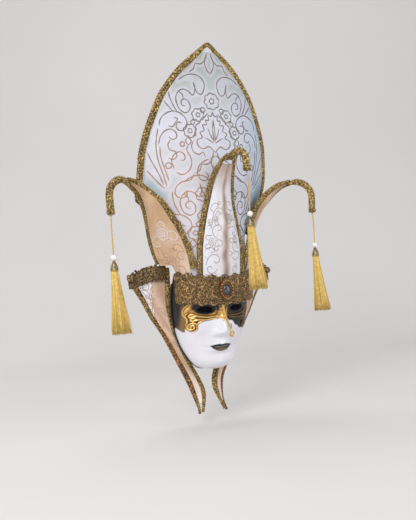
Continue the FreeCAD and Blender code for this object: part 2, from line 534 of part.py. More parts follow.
by = BAND_Y - BAND_B - BAND_T - 0.15
def disc(cy, a, b, th):
    e = Part.Ellipse(V(0, 0, 0), b, a).toShape()
    f = Part.Face(Part.Wire([e])).extrude(V(0, 0, th))
    f.rotate(V(0, 0, 0), V(0, 0, 1), 90)           # long axis along Y
    f.rotate(V(0, 0, 0), V(1, 0, 0), 90)           # long axis along Z, thickness along -Y
    f.translate(V(0, cy, 138.0))
    return f
setting = disc(by, 15.0, 18.5, 2.2)
bezel = disc(by - 2.2, 9.0, 11.2, 1.6).cut(disc(by - 2.1, 7.7, 9.8, 3.0))
setting = setting.fuse(bezel)
put("brooch_setting", one(setting))
m = FreeCAD.Matrix()
m.A11, m.A22, m.A33 = 7.4, 4.6, 9.5
half = Part.makeSphere(1.0).common(Part.makeBox(4, 2, 4, V(-2, -2, -2)))
stone = half.transformGeometry(m)
stone.translate(V(0, by - 2.3, 138.0))
put("brooch_stone", one(stone))
beads = []
for k in range(18):
    a = 2 * math.pi * k / 18
    beads.append(Part.makeSphere(2.05, V(12.0 * math.cos(a), by - 2.3 - 2.05, 138.0 + 15.1 * math.sin(a))))
put("brooch_beads", Part.Compound(beads))

# ---------------------------------------------------------------- the tassels
def tangent_path(pts):
    """Straight runs joined by tangent arcs; each arc takes 0.45 of the shorter run. Returns the wire and the radii."""
    edges, radii = [], []
    p = [V(*q) for q in pts]
    start = p[0]
    for i in range(1, len(p) - 1):
        u, w = (p[i] - p[i - 1]), (p[i + 1] - p[i])
        k = 0.45 * min(u.Length, w.Length)
        u.normalize(); w.normalize()
        a, b = p[i] - u * k, p[i] + w * k
        turn = math.acos(max(-1, min(1, u.dot(w))))
        radii.append(k / math.tan(turn / 2))
        mid = a + (b - a) * 0.5
        d = (mid - p[i]); dl = d.Length; d.normalize()
        r = radii[-1]
        m_ = p[i] + d * (math.sqrt(r * r + k * k) - r)
        edges.append(Part.LineSegment(start, a).toShape())
        edges.append(Part.Arc(a, m_, b).toShape())
        start = b
    edges.append(Part.LineSegment(start, p[-1]).toShape())
    return Part.Wire(edges), radii

for side, (px, py, pz, drop, low) in TASSELS.items():
    put("tassel_%s_knot" % side, Part.makeSphere(KNOT_R, V(px, py, pz)))
    cz = pz - drop                                    # pearl centre
    cap_top = cz - PEARL_R - 0.35
    z0, z3 = pz - KNOT_R - 0.3, cap_top + 0.12
    L = z0 - z3
    sg = -1 if px < 0 else 1
    route = [(px, py, z0), (px + 0.9 * sg, py - 0.5, z0 - 0.31 * L), (px, py, z0 - 0.63 * L), (px, py, z3)]
    wire, radii = tangent_path(route)
    prof = Part.Wire([Part.makeCircle(CORD_R, V(*route[0]), V(*sub(route[1], route[0])))])
    cord = wire.makePipeShell([prof], True, False)
    print("cord", side, "length %.1f" % wire.Length, "radii", ["%.0f" % r for r in radii], "volume ratio %.4f" % (cord.Volume / (math.pi * CORD_R ** 2 * wire.Length)))
    put("tassel_%s_cord" % side, cord)
    pearl = Part.makeSphere(PEARL_R, V(px, py, cz)).cut(Part.makeCylinder(CORD_R + 0.07, 12, V(px, py, cz - 6)))
    put("tassel_%s_pearl" % side, one(pearl))
    H, r0, r1 = CAP_H, CAP_R_TOP, CAP_R_BOT
    cap = revolve([(0, 0), (r0, 0), (r0 + 0.5, -1.2), (r0 + 0.1, -2.4), (r0 + 1.6, -4.2), (r1 - 1.2, -7.5), (r1 - 0.3, -11.0), (r1, -H + 0.8), (r1 + 0.25, -H),
                   (r1 - 0.9, -H), (r1 - 0.9, -H + 3.0), (0, -H + 3.0)], (px, py, cap_top))
    put("tassel_%s_cap" % side, one(cap))
    zt, zb = cap_top - H + 2.8, pz - low
    rings = [ring((px, py, zt), (1, 0, 0), (0, 1, 0), 5.1, 5.1), ring((px, py, zt - 3.3), (1, 0, 0), (0, 1, 0), 5.2, 5.2)]
    for k in range(9):
        q = k / 8.0
        f = q ** 1.25
        ax, ay = lerp(SKIRT_R_TOP, SKIRT_AX, f), lerp(SKIRT_R_TOP, SKIRT_AY, f)
        rings.append(ring((px + SKIRT_DX * f, py + SKIRT_DY * f, lerp(zt - 6.5, zb, q)), (1, 0, 0), (0, 1, 0), ax, ay))
    put("tassel_%s_skirt" % side, Part.makeLoft(rings, True, False))

# ---------------------------------------------------------------- write the pieces
for name in sorted(NODES):
    sh = NODES[name].copy()
    sh.translate(ORIGIN * -1.0)
    bb = sh.BoundBox
    print("%-24s vol %10.1f valid %s solids %d  x %7.1f %7.1f  y %7.1f %7.1f  z %7.1f %7.1f"
          % (name, sh.Volume, sh.isValid(), len(sh.Solids), bb.XMin, bb.XMax, bb.YMin, bb.YMax, bb.ZMin, bb.ZMax))
    sh.exportStep("parts/%s.step" % name)
print(len(NODES), "nodes")
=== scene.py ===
import math
import bpy
import numpy as np
from mathutils import Matrix, Vector


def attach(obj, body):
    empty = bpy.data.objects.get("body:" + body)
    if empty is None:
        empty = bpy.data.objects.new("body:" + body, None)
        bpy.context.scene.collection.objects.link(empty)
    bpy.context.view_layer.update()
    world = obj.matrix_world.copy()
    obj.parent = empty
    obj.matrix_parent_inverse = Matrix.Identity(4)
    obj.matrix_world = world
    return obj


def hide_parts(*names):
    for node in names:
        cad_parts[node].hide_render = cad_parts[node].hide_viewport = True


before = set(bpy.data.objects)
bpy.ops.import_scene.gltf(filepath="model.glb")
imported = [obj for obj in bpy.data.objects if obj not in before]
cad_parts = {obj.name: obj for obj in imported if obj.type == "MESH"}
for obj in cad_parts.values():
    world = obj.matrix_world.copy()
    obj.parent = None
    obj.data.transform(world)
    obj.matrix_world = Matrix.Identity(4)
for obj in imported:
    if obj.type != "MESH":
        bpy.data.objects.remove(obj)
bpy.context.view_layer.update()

rng = np.random.default_rng(11)
ORG = np.array([0.0, -50.8, 330.0])          # design frame (mm) to row frame (m)

def W(p):
    return (np.asarray(p, float) - ORG) * 0.001

# ---------------------------------------------------------------- camera, first
TH, EL, RO = math.radians(30.0), math.radians(-1.9), math.radians(4.0)
B_ = np.array([-math.sin(TH) * math.cos(EL), -math.cos(TH) * math.cos(EL), math.sin(EL)])
R0 = np.array([math.cos(TH), -math.sin(TH), 0.0])
U0 = np.array([math.sin(TH) * math.sin(EL), math.cos(TH) * math.sin(EL), math.cos(EL)])
RX = R0 * math.cos(RO) - U0 * math.sin(RO)
UX = U0 * math.cos(RO) + R0 * math.sin(RO)
TGT = W((0.0, -9.7, 193.0))
LOC = TGT + 1.26 * B_
cd = bpy.data.cameras.new("cam")
cd.lens, cd.sensor_width, cd.sensor_fit = 700.0 * 36.0 / 520.0, 36.0, "AUTO"
cd.clip_start, cd.clip_end = 0.01, 60.0
cam = bpy.data.objects.new("cam", cd)
bpy.context.scene.collection.objects.link(cam)
cam.matrix_world = Matrix(((RX[0], UX[0], B_[0], LOC[0]), (RX[1], UX[1], B_[1], LOC[1]), (RX[2], UX[2], B_[2], LOC[2]), (0, 0, 0, 1)))
bpy.context.scene.camera = cam
bpy.context.scene.view_settings.view_transform = "Standard"

# ---------------------------------------------------------------- materials
def nd(nt, kind, props=None, **ins):
    n = nt.nodes.new(kind)
    for k, v in (props or {}).items():
        setattr(n, k, v)
    for k, v in ins.items():
        key = int(k[1:]) if k[0] == "i" and k[1:].isdigit() else k.replace("_", " ")
        s = n.inputs[key]
        if isinstance(v, bpy.types.NodeSocket):
            nt.links.new(v, s)
        else:
            s.default_value = v
    return n

def rgba(c):
    return (c[0], c[1], c[2], 1.0)

def ramp(nt, fac, stops):
    n = nt.nodes.new("ShaderNodeValToRGB")
    nt.links.new(fac, n.inputs[0])
    cr_ = n.color_ramp
    while len(cr_.elements) < len(stops):
        cr_.elements.new(0.5)
    for e, (p, c) in zip(cr_.elements, stops):
        e.position, e.color = p, rgba(c)
    return n.outputs[0]

def mixc(nt, fac, a, b, mode="MIX"):
    n = nt.nodes.new("ShaderNodeMix")
    n.data_type, n.blend_type = "RGBA", mode
    for key, v in ((0, fac), (6, a), (7, b)):
        if isinstance(v, bpy.types.NodeSocket):
            nt.links.new(v, n.inputs[key])
        else:
            n.inputs[key].default_value = v if key == 0 else rgba(v)
    return n.outputs[2]

def maprange(nt, v, a, b, lo, hi):
    return nd(nt, "ShaderNodeMapRange", None, Value=v, From_Min=a, From_Max=b, To_Min=lo, To_Max=hi).outputs[0]

def math_(nt, op, a, b=None):
    n = nt.nodes.new("ShaderNodeMath")
    n.operation = op
    for i, v in enumerate((a, b)):
        if v is None:
            continue
        if isinstance(v, bpy.types.NodeSocket):
            nt.links.new(v, n.inputs[i])
        else:
            n.inputs[i].default_value = v
    return n.outputs[0]

def noise(nt, vec, scale, detail=3.0, rough=0.55):
    return nd(nt, "ShaderNodeTexNoise", None, Vector=vec, Scale=scale, Detail=detail, Roughness=rough).outputs[0]

def begin(name):
    m = bpy.data.materials.new(name)
    m.use_nodes = True
    nt = m.node_tree
    nt.nodes.clear()
    out = nt.nodes.new("ShaderNodeOutputMaterial")
    b = nt.nodes.new("ShaderNodeBsdfPrincipled")
    nt.links.new(b.outputs[0], out.inputs[0])
    tc = nt.nodes.new("ShaderNodeTexCoord")
    return m, nt, b, tc

def attr(nt, name="Col"):
    n = nt.nodes.new("ShaderNodeAttribute")
    n.attribute_name = name
    return n.outputs[0]

def setc(b, **k):
    for key, v in k.items():
        b.inputs[key.replace("_", " ")].default_value = v

def bump(nt, b, h, strength, dist):
    n = nd(nt, "ShaderNodeBump", None, Strength=strength, Distance=dist, Height=h)
    nt.links.new(n.outputs[0], b.inputs["Normal"])

def weave_height(nt, uv, pitch):
    """Plain weave: two crossed sets of threads, in millimetres of cloth."""
    k = 2 * math.pi / pitch
    sp = nd(nt, "ShaderNodeSeparateXYZ", None, Vector=uv)
    a = math_(nt, "SINE", math_(nt, "MULTIPLY", sp.outputs[0], k))
    c = math_(nt, "SINE", math_(nt, "MULTIPLY", sp.outputs[1], k))
    return math_(nt, "MULTIPLY_ADD" if False else "MULTIPLY", a, c)

def m_cloth(name, tint=(1, 1, 1), pitch=0.9, rough=(0.42, 0.62), sheen=0.25, bumpd=0.00012, streak=0.10, metal=0.0):
    """Woven satin: colour from the piece, thread streaks, weave bump."""
    m, nt, b, tc = begin(name)
    uv = tc.outputs["UV"]
    col = attr(nt)
    st = nd(nt, "ShaderNodeMapping", None, Vector=uv)
    st.inputs["Scale"].default_value = (1.6, 0.05, 1.0)
    n1 = noise(nt, st.outputs[0], 1.0, 4.0)
    n2 = noise(nt, uv, 0.06, 3.0)
    v = maprange(nt, n1, 0.25, 0.75, 1.0 - streak, 1.0 + 0.4 * streak)
    v2 = maprange(nt, n2, 0.3, 0.7, 0.93, 1.03)
    vv = math_(nt, "MULTIPLY", v, v2)
    cc = nd(nt, "ShaderNodeCombineColor", None, Red=vv, Green=vv, Blue=vv).outputs[0]
    c = mixc(nt, 1.0, col, cc, "MULTIPLY")
    c = mixc(nt, 1.0, c, tint, "MULTIPLY")
    nt.links.new(c, b.inputs["Base Color"])
    w = weave_height(nt, uv, pitch)
    n3 = noise(nt, uv, 2.0, 2.0)
    nt.links.new(maprange(nt, n3, 0.3, 0.7, rough[0], rough[1]), b.inputs["Roughness"])
    h = math_(nt, "ADD", math_(nt, "MULTIPLY", w, 0.5), math_(nt, "MULTIPLY", n1, 0.9))
    bump(nt, b, h, 0.45, bumpd)
    setc(b, Metallic=metal, Sheen_Weight=sheen, Sheen_Roughness=0.35)
    return m

def m_metal_thread(name, dark, mid, light, metal=0.55, scale=520.0, rough=(0.32, 0.6)):
    """Gimp braid or lace of metallic yarn: painted shade in the gaps, mid yarn, painted bright glints."""
    m, nt, b, tc = begin(name)
    o = tc.outputs["Object"]
    n1 = noise(nt, o, scale, 3.0, 0.6)
    n2 = noise(nt, o, scale * 0.07, 3.0, 0.6)
    vo = nd(nt, "ShaderNodeTexVoronoi", None, Vector=o, Scale=scale * 1.25)
    # base colour: painted shade for the gaps between yarns, painted glints on the yarns
    base = ramp(nt, n1, [(0.36, dark), (0.50, mid), (0.66, light)])
    patch_ = maprange(nt, n2, 0.35, 0.65, 0.68, 1.12)
    pc = nd(nt, "ShaderNodeCombineColor", None, Red=patch_, Green=patch_, Blue=patch_).outputs[0]
    c = mixc(nt, 1.0, base, pc, "MULTIPLY")
    c = mixc(nt, 1.0, c, attr(nt), "MULTIPLY")
    nt.links.new(c, b.inputs["Base Color"])
    nt.links.new(maprange(nt, n1, 0.3, 0.7, rough[1], rough[0]), b.inputs["Roughness"])
    bump(nt, b, math_(nt, "ADD", vo.outputs[0], n1), 0.7, 0.00045)
    setc(b, Metallic=metal, Sheen_Weight=0.1)
    return m

def m_simple(name, c0, c1, scale, rough, metal=0.0, bumpk=0.2, bumpd=0.0002, bscale=None, coat=0.0, coat_r=0.1, sheen=0.0, use_col=False, sss=0.0, spec=None):
    m, nt, b, tc = begin(name)
    o = tc.outputs["Object"]
    n1 = noise(nt, o, scale, 4.0)
    c = ramp(nt, n1, [(0.3, c0), (0.7, c1)])
    if use_col:
        c = mixc(nt, 1.0, c, attr(nt), "MULTIPLY")
    nt.links.new(c, b.inputs["Base Color"])
    n2 = noise(nt, o, bscale or scale * 4, 3.0)
    nt.links.new(maprange(nt, n2, 0.3, 0.7, rough[0], rough[1]), b.inputs["Roughness"])
    bump(nt, b, n2, bumpk, bumpd)
    setc(b, Metallic=metal, Coat_Weight=coat, Coat_Roughness=coat_r, Sheen_Weight=sheen)
    if sss:
        setc(b, Subsurface_Weight=sss, Subsurface_Scale=0.002)
    if spec is not None:
        setc(b, Specular_IOR_Level=spec)
    return m

def m_face():
    """Satin white paint on papier-mache, the painted lips come from the piece's colour."""
    m, nt, b, tc = begin("face_paint")
    o = tc.outputs["Object"]
    n1 = noise(nt, o, 22.0, 4.0)
    n2 = noise(nt, o, 420.0, 4.0, 0.6)
    n3 = noise(nt, o, 90.0, 3.0)
    c = ramp(nt, n1, [(0.3, (0.77, 0.78, 0.83)), (0.7, (0.87, 0.89, 0.94))])
    c = mixc(nt, 1.0, c, attr(nt), "MULTIPLY")
    nt.links.new(c, b.inputs["Base Color"])
    nt.links.new(maprange(nt, n3, 0.3, 0.7, 0.30, 0.46), b.inputs["Roughness"])
    bump(nt, b, math_(nt, "ADD", n2, math_(nt, "MULTIPLY", n3, 1.4)), 0.16, 0.0004)
    setc(b, Coat_Weight=0.12, Coat_Roughness=0.25, Subsurface_Weight=0.05, Subsurface_Scale=0.002)
    return m

def m_gilt():
    """Gold leaf on gesso: bright ridges, brown patina in the hollows and over the shaded half."""
    m, nt, b, tc = begin("gold_leaf")
    o = tc.outputs["Object"]
    n1 = noise(nt, o, 160.0, 5.0, 0.65)
    n2 = noise(nt, o, 900.0, 3.0)
    at = nt.nodes.new("ShaderNodeAttribute")
    at.attribute_name = "Col"
    sp = nd(nt, "ShaderNodeSeparateColor", None, Color=at.outputs[0])
    wear = math_(nt, "ADD", sp.outputs[0], maprange(nt, n1, 0.3, 0.7, -0.14, 0.10))
    gold = ramp(nt, wear, [(0.10, (0.030, 0.016, 0.006)), (0.34, (0.24, 0.11, 0.028)), (0.60, (0.74, 0.41, 0.10)), (0.95, (1.0, 0.72, 0.30))])
    bronze = ramp(nt, wear, [(0.15, (0.008, 0.006, 0.004)), (0.6, (0.050, 0.038, 0.020)), (0.95, (0.16, 0.12, 0.055))])
    c = mixc(nt, sp.outputs[1], gold, bronze)
    # the blue channel turns the gilding black: black paint round the eyes, with painted shadow under the lace band
    c = mixc(nt, sp.outputs[2], c, (0.006, 0.006, 0.008))
    nt.links.new(c, b.inputs["Base Color"])
    nt.links.new(math_(nt, "SUBTRACT", 0.85, math_(nt, "MULTIPLY", sp.outputs[2], 0.8)), b.inputs["Metallic"])
    nt.links.new(maprange(nt, n1, 0.25, 0.75, 0.24, 0.46), b.inputs["Roughness"])
    bump(nt, b, math_(nt, "ADD", n1, math_(nt, "MULTIPLY", n2, 0.4)), 0.25, 0.0004)
    return m

M = {
    "damask": m_cloth("damask_satin", pitch=0.8, rough=(0.40, 0.58), sheen=0.2),
    "brocade": m_cloth("tan_satin", pitch=0.8, rough=(0.30, 0.48), sheen=0.35, streak=0.14),
    "lining": m_cloth("cotton_lining", tint=(1, 1, 1), pitch=1.0, rough=(0.75, 0.95), sheen=0.15, bumpd=0.0002, streak=0.16),
    "outline": m_simple("woven_outline", (0.80, 0.80, 0.80), (1.0, 1.0, 1.0), 700.0, (0.35, 0.6), 0.25, 0.5, 0.0001, use_col=True),
    "braid": m_metal_thread("antique_gold_braid", (0.026, 0.017, 0.006), (0.235, 0.155, 0.050), (0.80, 0.57, 0.20), 0.45, 400.0),
    "lace": m_metal_thread("bronze_lace", (0.014, 0.008, 0.004), (0.190, 0.120, 0.052), (0.74, 0.50, 0.23), 0.40, 400.0),
    "gold_bead": m_simple("gold_seed_bead", (0.60, 0.38, 0.10), (0.95, 0.68, 0.28), 500.0, (0.18, 0.35), 0.9, 0.2, 0.0001, use_col=True),
    "face": m_face(),
    "gilt": m_gilt(),
    "silk": m_simple("golden_silk", (0.62, 0.40, 0.075), (0.88, 0.66, 0.22), 240.0, (0.26, 0.42), 0.10, 0.25, 0.0001, sheen=0.15, use_col=True, coat=0.15, coat_r=0.3),
    "cordm": m_simple("ochre_cord", (0.42, 0.25, 0.055), (0.80, 0.52, 0.13), 900.0, (0.40, 0.62), 0.1, 0.7, 0.0003, sheen=0.3),
    "pearl": m_simple("pearl", (0.80, 0.78, 0.76), (0.93, 0.92, 0.91), 120.0, (0.12, 0.22), 0.0, 0.1, 0.0001, coat=0.9, coat_r=0.06, sss=0.15),
    "cap": m_simple("antique_brass", (0.090, 0.068, 0.032), (0.46, 0.38, 0.21), 330.0, (0.28, 0.52), 0.9, 0.5, 0.0004),
    "tape": m_simple("black_tape", (0.006, 0.006, 0.007), (0.022, 0.021, 0.021), 600.0, (0.65, 0.85), 0.0, 0.6, 0.0003, sheen=0.15),
    "gauze": m_simple("black_gauze", (0.003, 0.003, 0.004), (0.010, 0.010, 0.012), 1200.0, (0.8, 0.95), 0.0, 0.6, 0.0003, spec=0.1),
    "card": m_simple("grey_card", (0.30, 0.25, 0.19), (0.46, 0.40, 0.32), 180.0, (0.8, 0.95), 0.0, 0.4, 0.0003),
    "steel": m_simple("steel_wire", (0.42, 0.42, 0.42), (0.62, 0.62, 0.62), 500.0, (0.25, 0.42), 1.0, 0.2, 0.0001),
    "brass": m_simple("brushed_brass", (0.50, 0.34, 0.12), (0.78, 0.58, 0.26), 260.0, (0.26, 0.44), 1.0, 0.3, 0.0002),
    "setting": m_simple("copper_gold_setting", (0.045, 0.026, 0.014), (0.34, 0.19, 0.09), 420.0, (0.30, 0.55), 0.85, 0.6, 0.0004),
    "brooch_bead": m_simple("copper_gold_bead", (0.14, 0.060, 0.022), (0.62, 0.32, 0.12), 420.0, (0.16, 0.32), 0.8, 0.2, 0.0002, coat=0.5),
    "inner": m_simple("bare_papier_mache", (0.52, 0.47, 0.40), (0.66, 0.61, 0.53), 60.0, (0.7, 0.9), 0.0, 0.6, 0.0006),
}

def m_stone():
    m, nt, b, tc = begin("dark_cut_stone")
    o = tc.outputs["Object"]
    n1 = noise(nt, o, 130.0, 5.0, 0.7)
    c = ramp(nt, n1, [(0.30, (0.010, 0.011, 0.014)), (0.54, (0.03, 0.035, 0.05)), (0.66, (0.16, 0.17, 0.20)), (0.80, (0.50, 0.51, 0.54))])
    nt.links.new(c, b.inputs["Base Color"])
    nt.links.new(maprange(nt, n1, 0.3, 0.7, 0.06, 0.16), b.inputs["Roughness"])
    bump(nt, b, n1, 0.15, 0.0003)
    setc(b, Coat_Weight=0.8, Coat_Roughness=0.04)
    return m
M["stone"] = m_stone()

# ---------------------------------------------------------------- cords, first of the pieces
TASSELS = {"left": (-203.0, -62.6, 268.6, 66.6, 187.0), "centre": (0.0, -156.3, 327.6, 68.6, 190.0), "right": (203.0, -62.6, 268.6, 59.6, 181.0)}
KNOT_R, PEARL_R, CORD_R, CAP_H = 1.9, 4.8, 1.1, 14.0
for side, (px, py, pz, drop, low) in TASSELS.items():
    z0, z3 = pz - KNOT_R - 0.3, pz - drop - PEARL_R - 0.35 + 0.12
    L = z0 - z3
    sg = -1 if px < 0 else 1
    route = [W(p) for p in ((px, py, z0), (px + 0.9 * sg, py - 0.5, z0 - 0.31 * L), (px, py, z0 - 0.63 * L), (px, py, z3))]
    cu = bpy.data.curves.new("tassel_%s_cord_silk" % side, "CURVE")
    cu.dimensions = "3D"
    sp_ = cu.splines.new("NURBS")
    sp_.points.add(3)
    for q, p in zip(sp_.points, route):
        q.co = (p[0], p[1], p[2], 1.0)
    sp_.order_u = 3
    sp_.use_endpoint_u = True
    sp_.resolution_u = 10
    cu.bevel_depth, cu.bevel_resolution, cu.use_fill_caps = CORD_R * 0.001, 3, True
    ob = bpy.data.objects.new("tassel_%s_cord_silk" % side, cu)
    bpy.context.scene.collection.objects.link(ob)
    cu.materials.append(M["cordm"])
    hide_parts("tassel_%s_cord" % side)
    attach(ob, "tassel_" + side)

# ---------------------------------------------------------------- small maths, on arrays
def pchip(xs, ys):
    xs, ys = np.array(xs, float), np.array(ys, float)
    h = np.diff(xs)
    d = np.diff(ys) / h
    m = np.zeros(len(xs))
    m[0], m[-1] = d[0], d[-1]
    for i in range(1, len(xs) - 1):
        if d[i - 1] * d[i] > 0:
            w1, w2 = 2 * h[i] + h[i - 1], h[i] + 2 * h[i - 1]
            m[i] = (w1 + w2) / (w1 / d[i - 1] + w2 / d[i])
    def f(x):
        x = np.asarray(x, float)
        i = np.clip(np.searchsorted(xs, x, side="left") - 1, 0, len(xs) - 2)
        t = (x - xs[i]) / h[i]
        y = ((1 + 2 * t) * (1 - t) ** 2 * ys[i] + t * (1 - t) ** 2 * h[i] * m[i]
             + t * t * (3 - 2 * t) * ys[i + 1] + t * t * (t - 1) * h[i] * m[i + 1])
        y = np.where(x <= xs[0], ys[0] + m[0] * (x - xs[0]), y)
        return np.where(x >= xs[-1], ys[-1] + m[-1] * (x - xs[-1]), y)
    return f

def curve3(pts, par=None):
    pts = np.array(pts, float)
    n = len(pts)
    if par is None:
        par = np.concatenate([[0], np.cumsum(np.linalg.norm(np.diff(pts, axis=0), axis=1))])
    par = np.array(par, float) / par[-1]
    m = np.zeros_like(pts)
    m[0] = (pts[1] - pts[0]) / (par[1] - par[0])
    m[-1] = (pts[-1] - pts[-2]) / (par[-1] - par[-2])
    for i in range(1, n - 1):
        a, b = par[i] - par[i - 1], par[i + 1] - par[i]
        m[i] = ((pts[i] - pts[i - 1]) / a * b + (pts[i + 1] - pts[i]) / b * a) / (a + b)
    def f(t):
        t = np.clip(np.asarray(t, float), 0.0, 1.0)
        i = np.clip(np.searchsorted(par, t, side="left") - 1, 0, n - 2)
        h = par[i + 1] - par[i]
        s = (t - par[i]) / h
        c0, c1, c2, c3 = (1 + 2 * s) * (1 - s) ** 2, s * (1 - s) ** 2 * h, s * s * (3 - 2 * s), s * s * (s - 1) * h
        return c0[..., None] * pts[i] + c1[..., None] * m[i] + c2[..., None] * pts[i + 1] + c3[..., None] * m[i + 1]
    f.par = par
    return f

def vunit(a):
    return a / np.maximum(np.linalg.norm(a, axis=-1, keepdims=True), 1e-12)

def lerp(a, b, t):
    return a + (b - a) * t

def smooth(a, b, x):
    t = np.clip((np.asarray(x, float) - a) / (b - a), 0.0, 1.0)
    return t * t * (3 - 2 * t)

def gauss(d, w):
    return np.exp(-(d / w) ** 2)

def normal(F, s, t, flip=False):
    e = 1e-3
    s, t = np.broadcast_arrays(np.asarray(s, float), np.asarray(t, float))
    s0, s1, t0, t1 = np.maximum(s - e, 0), np.minimum(s + e, 1), np.maximum(t - e, 0), np.minimum(t + e, 1)
    n = vunit(np.cross(F(s1, t) - F(s0, t), F(s, t1) - F(s, t0)))
    return -n if flip else n

def onto(F, s, t, off, flip=False):
    return F(s, t) + normal(F, s, t, flip) * np.asarray(off, float)[..., None] if np.ndim(off) else F(s, t) + normal(F, s, t, flip) * off

def resample(P, step):
    """Points along a polyline at even steps."""
    P = np.asarray(P, float)
    l = np.concatenate([[0], np.cumsum(np.linalg.norm(np.diff(P, axis=0), axis=1))])
    n = max(3, int(round(l[-1] / step)) + 1)
    q = np.linspace(0, l[-1], n)
    return np.stack([np.interp(q, l, P[:, k]) for k in range(P.shape[1])], 1)

def crv(pts, step=1.2):
    """Smooth 2-D or 3-D curve through points, evenly sampled."""
    pts = np.array(pts, float)
    d = pts.shape[1]
    if d == 2:
        pts = np.c_[pts, np.zeros(len(pts))]
    n = max(12, int(len(pts) * 10))
    return resample(curve3(pts)(np.linspace(0, 1, n))[:, :d], step)

# ---------------------------------------------------------------- mesh building
class Bag:
    def __init__(self):
        self.v, self.q, self.t, self.c, self.uv, self.n = [], [], [], [], [], 0
    def add(self, v, q=None, t=None, col=(1, 1, 1), uv=None):
        v = np.asarray(v, float).reshape(-1, 3)
        if q is not None and len(q):
            self.q.append(np.asarray(q, int).reshape(-1, 4) + self.n)
        if t is not None and len(t):
            self.t.append(np.asarray(t, int).reshape(-1, 3) + self.n)
        c = np.asarray(col, float)
        self.c.append(np.broadcast_to(c, (len(v), 3)) if c.ndim == 1 else c.reshape(-1, 3))
        self.uv.append(np.zeros((len(v), 2)) if uv is None else np.asarray(uv, float).reshape(-1, 2))
        self.v.append(v)
        self.n += len(v)

def build(name, bag, mat, body="mask", nodes=(), smooth_=True):
    v = W(np.concatenate(bag.v))
    q = np.concatenate(bag.q) if bag.q else np.zeros((0, 4), int)
    t = np.concatenate(bag.t) if bag.t else np.zeros((0, 3), int)
    me = bpy.data.meshes.new(name)
    me.vertices.add(len(v))
    me.vertices.foreach_set("co", v.astype(np.float32).ravel())
    me.loops.add(len(q) * 4 + len(t) * 3)
    loops = np.concatenate([q.ravel(), t.ravel()])
    me.loops.foreach_set("vertex_index", loops.astype(np.int32))
    me.polygons.add(len(q) + len(t))
    starts = np.concatenate([np.arange(len(q)) * 4, len(q) * 4 + np.arange(len(t)) * 3])
    me.polygons.foreach_set("loop_start", starts.astype(np.int32))
    me.update(calc_edges=True)
    me.polygons.foreach_set("use_smooth", np.full(len(q) + len(t), smooth_))
    a = me.attributes.new("Col", "FLOAT_COLOR", "POINT")
    c = np.ones((len(v), 4), np.float32)
    c[:, :3] = np.concatenate(bag.c)
    a.data.foreach_set("color", c.ravel())
    uvl = me.uv_layers.new(name="UVMap")
    uvl.data.foreach_set("uv", np.concatenate(bag.uv)[loops].astype(np.float32).ravel())
    me.validate()
    me.materials.append(mat)
    ob = bpy.data.objects.new(name, me)
    bpy.context.scene.collection.objects.link(ob)
    if nodes:
        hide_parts(*nodes)
    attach(ob, body)
    return ob

def tubes(bag, P, ra, rb=None, ref=(0.0, 0.0, 1.0), k=6, col=(1, 1, 1), cap=True, uvscale=1.0):
    """Tubes along m paths of n points; ra is the half width across, rb the half height along ref."""
    P = np.asarray(P, float)
    if P.ndim == 2:
        P = P[None]
    m, n, _ = P.shape
    T = vunit(np.gradient(P, axis=1))
    ref = np.asarray(ref, float)
    U = vunit(np.cross(T, np.broadcast_to(ref, P.shape)))
    N = np.cross(U, T)
    ra = np.broadcast_to(np.asarray(ra, float), (m, n))
    rb = ra if rb is None else np.broadcast_to(np.asarray(rb, float), (m, n))
    an = np.arange(k) * 2 * np.pi / k + (np.pi / k if k in (4,) else 0.0)
    V = P[:, :, None, :] + (ra[..., None] * np.cos(an))[..., None] * U[:, :, None, :] + (rb[..., None] * np.sin(an))[..., None] * N[:, :, None, :]
    idx = np.arange(m * n * k).reshape(m, n, k)
    nx = np.roll(idx, -1, 2)
    q = np.stack([idx[:, :-1], idx[:, 1:], nx[:, 1:], nx[:, :-1]], -1).reshape(-1, 4)
    t = None
    if cap:
        a, b = idx[:, 0], idx[:, -1]
        ts = [np.stack([a[:, 0], a[:, i], a[:, i + 1]], -1) for i in range(1, k - 1)] + [np.stack([b[:, 0], b[:, i + 1], b[:, i]], -1) for i in range(1, k - 1)]
        t = np.concatenate(ts)
    c = np.asarray(col, float)
    if c.ndim == 2 and len(c) == m:
        c = np.repeat(c, n * k, axis=0)
    elif c.ndim == 3:
        c = np.repeat(c.reshape(-1, 3), k, axis=0)
    l = np.concatenate([np.zeros((m, 1)), np.cumsum(np.linalg.norm(np.diff(P, axis=1), axis=-1), axis=1)], 1)
    uv = np.stack([np.broadcast_to(np.arange(k) / k, (m, n, k)), np.broadcast_to(l[..., None], (m, n, k))], -1)
    bag.add(V, q, t, c, uv)

def grid_quads(n, m, base=0):
    i = np.arange(n * m).reshape(n, m) + base
    return i

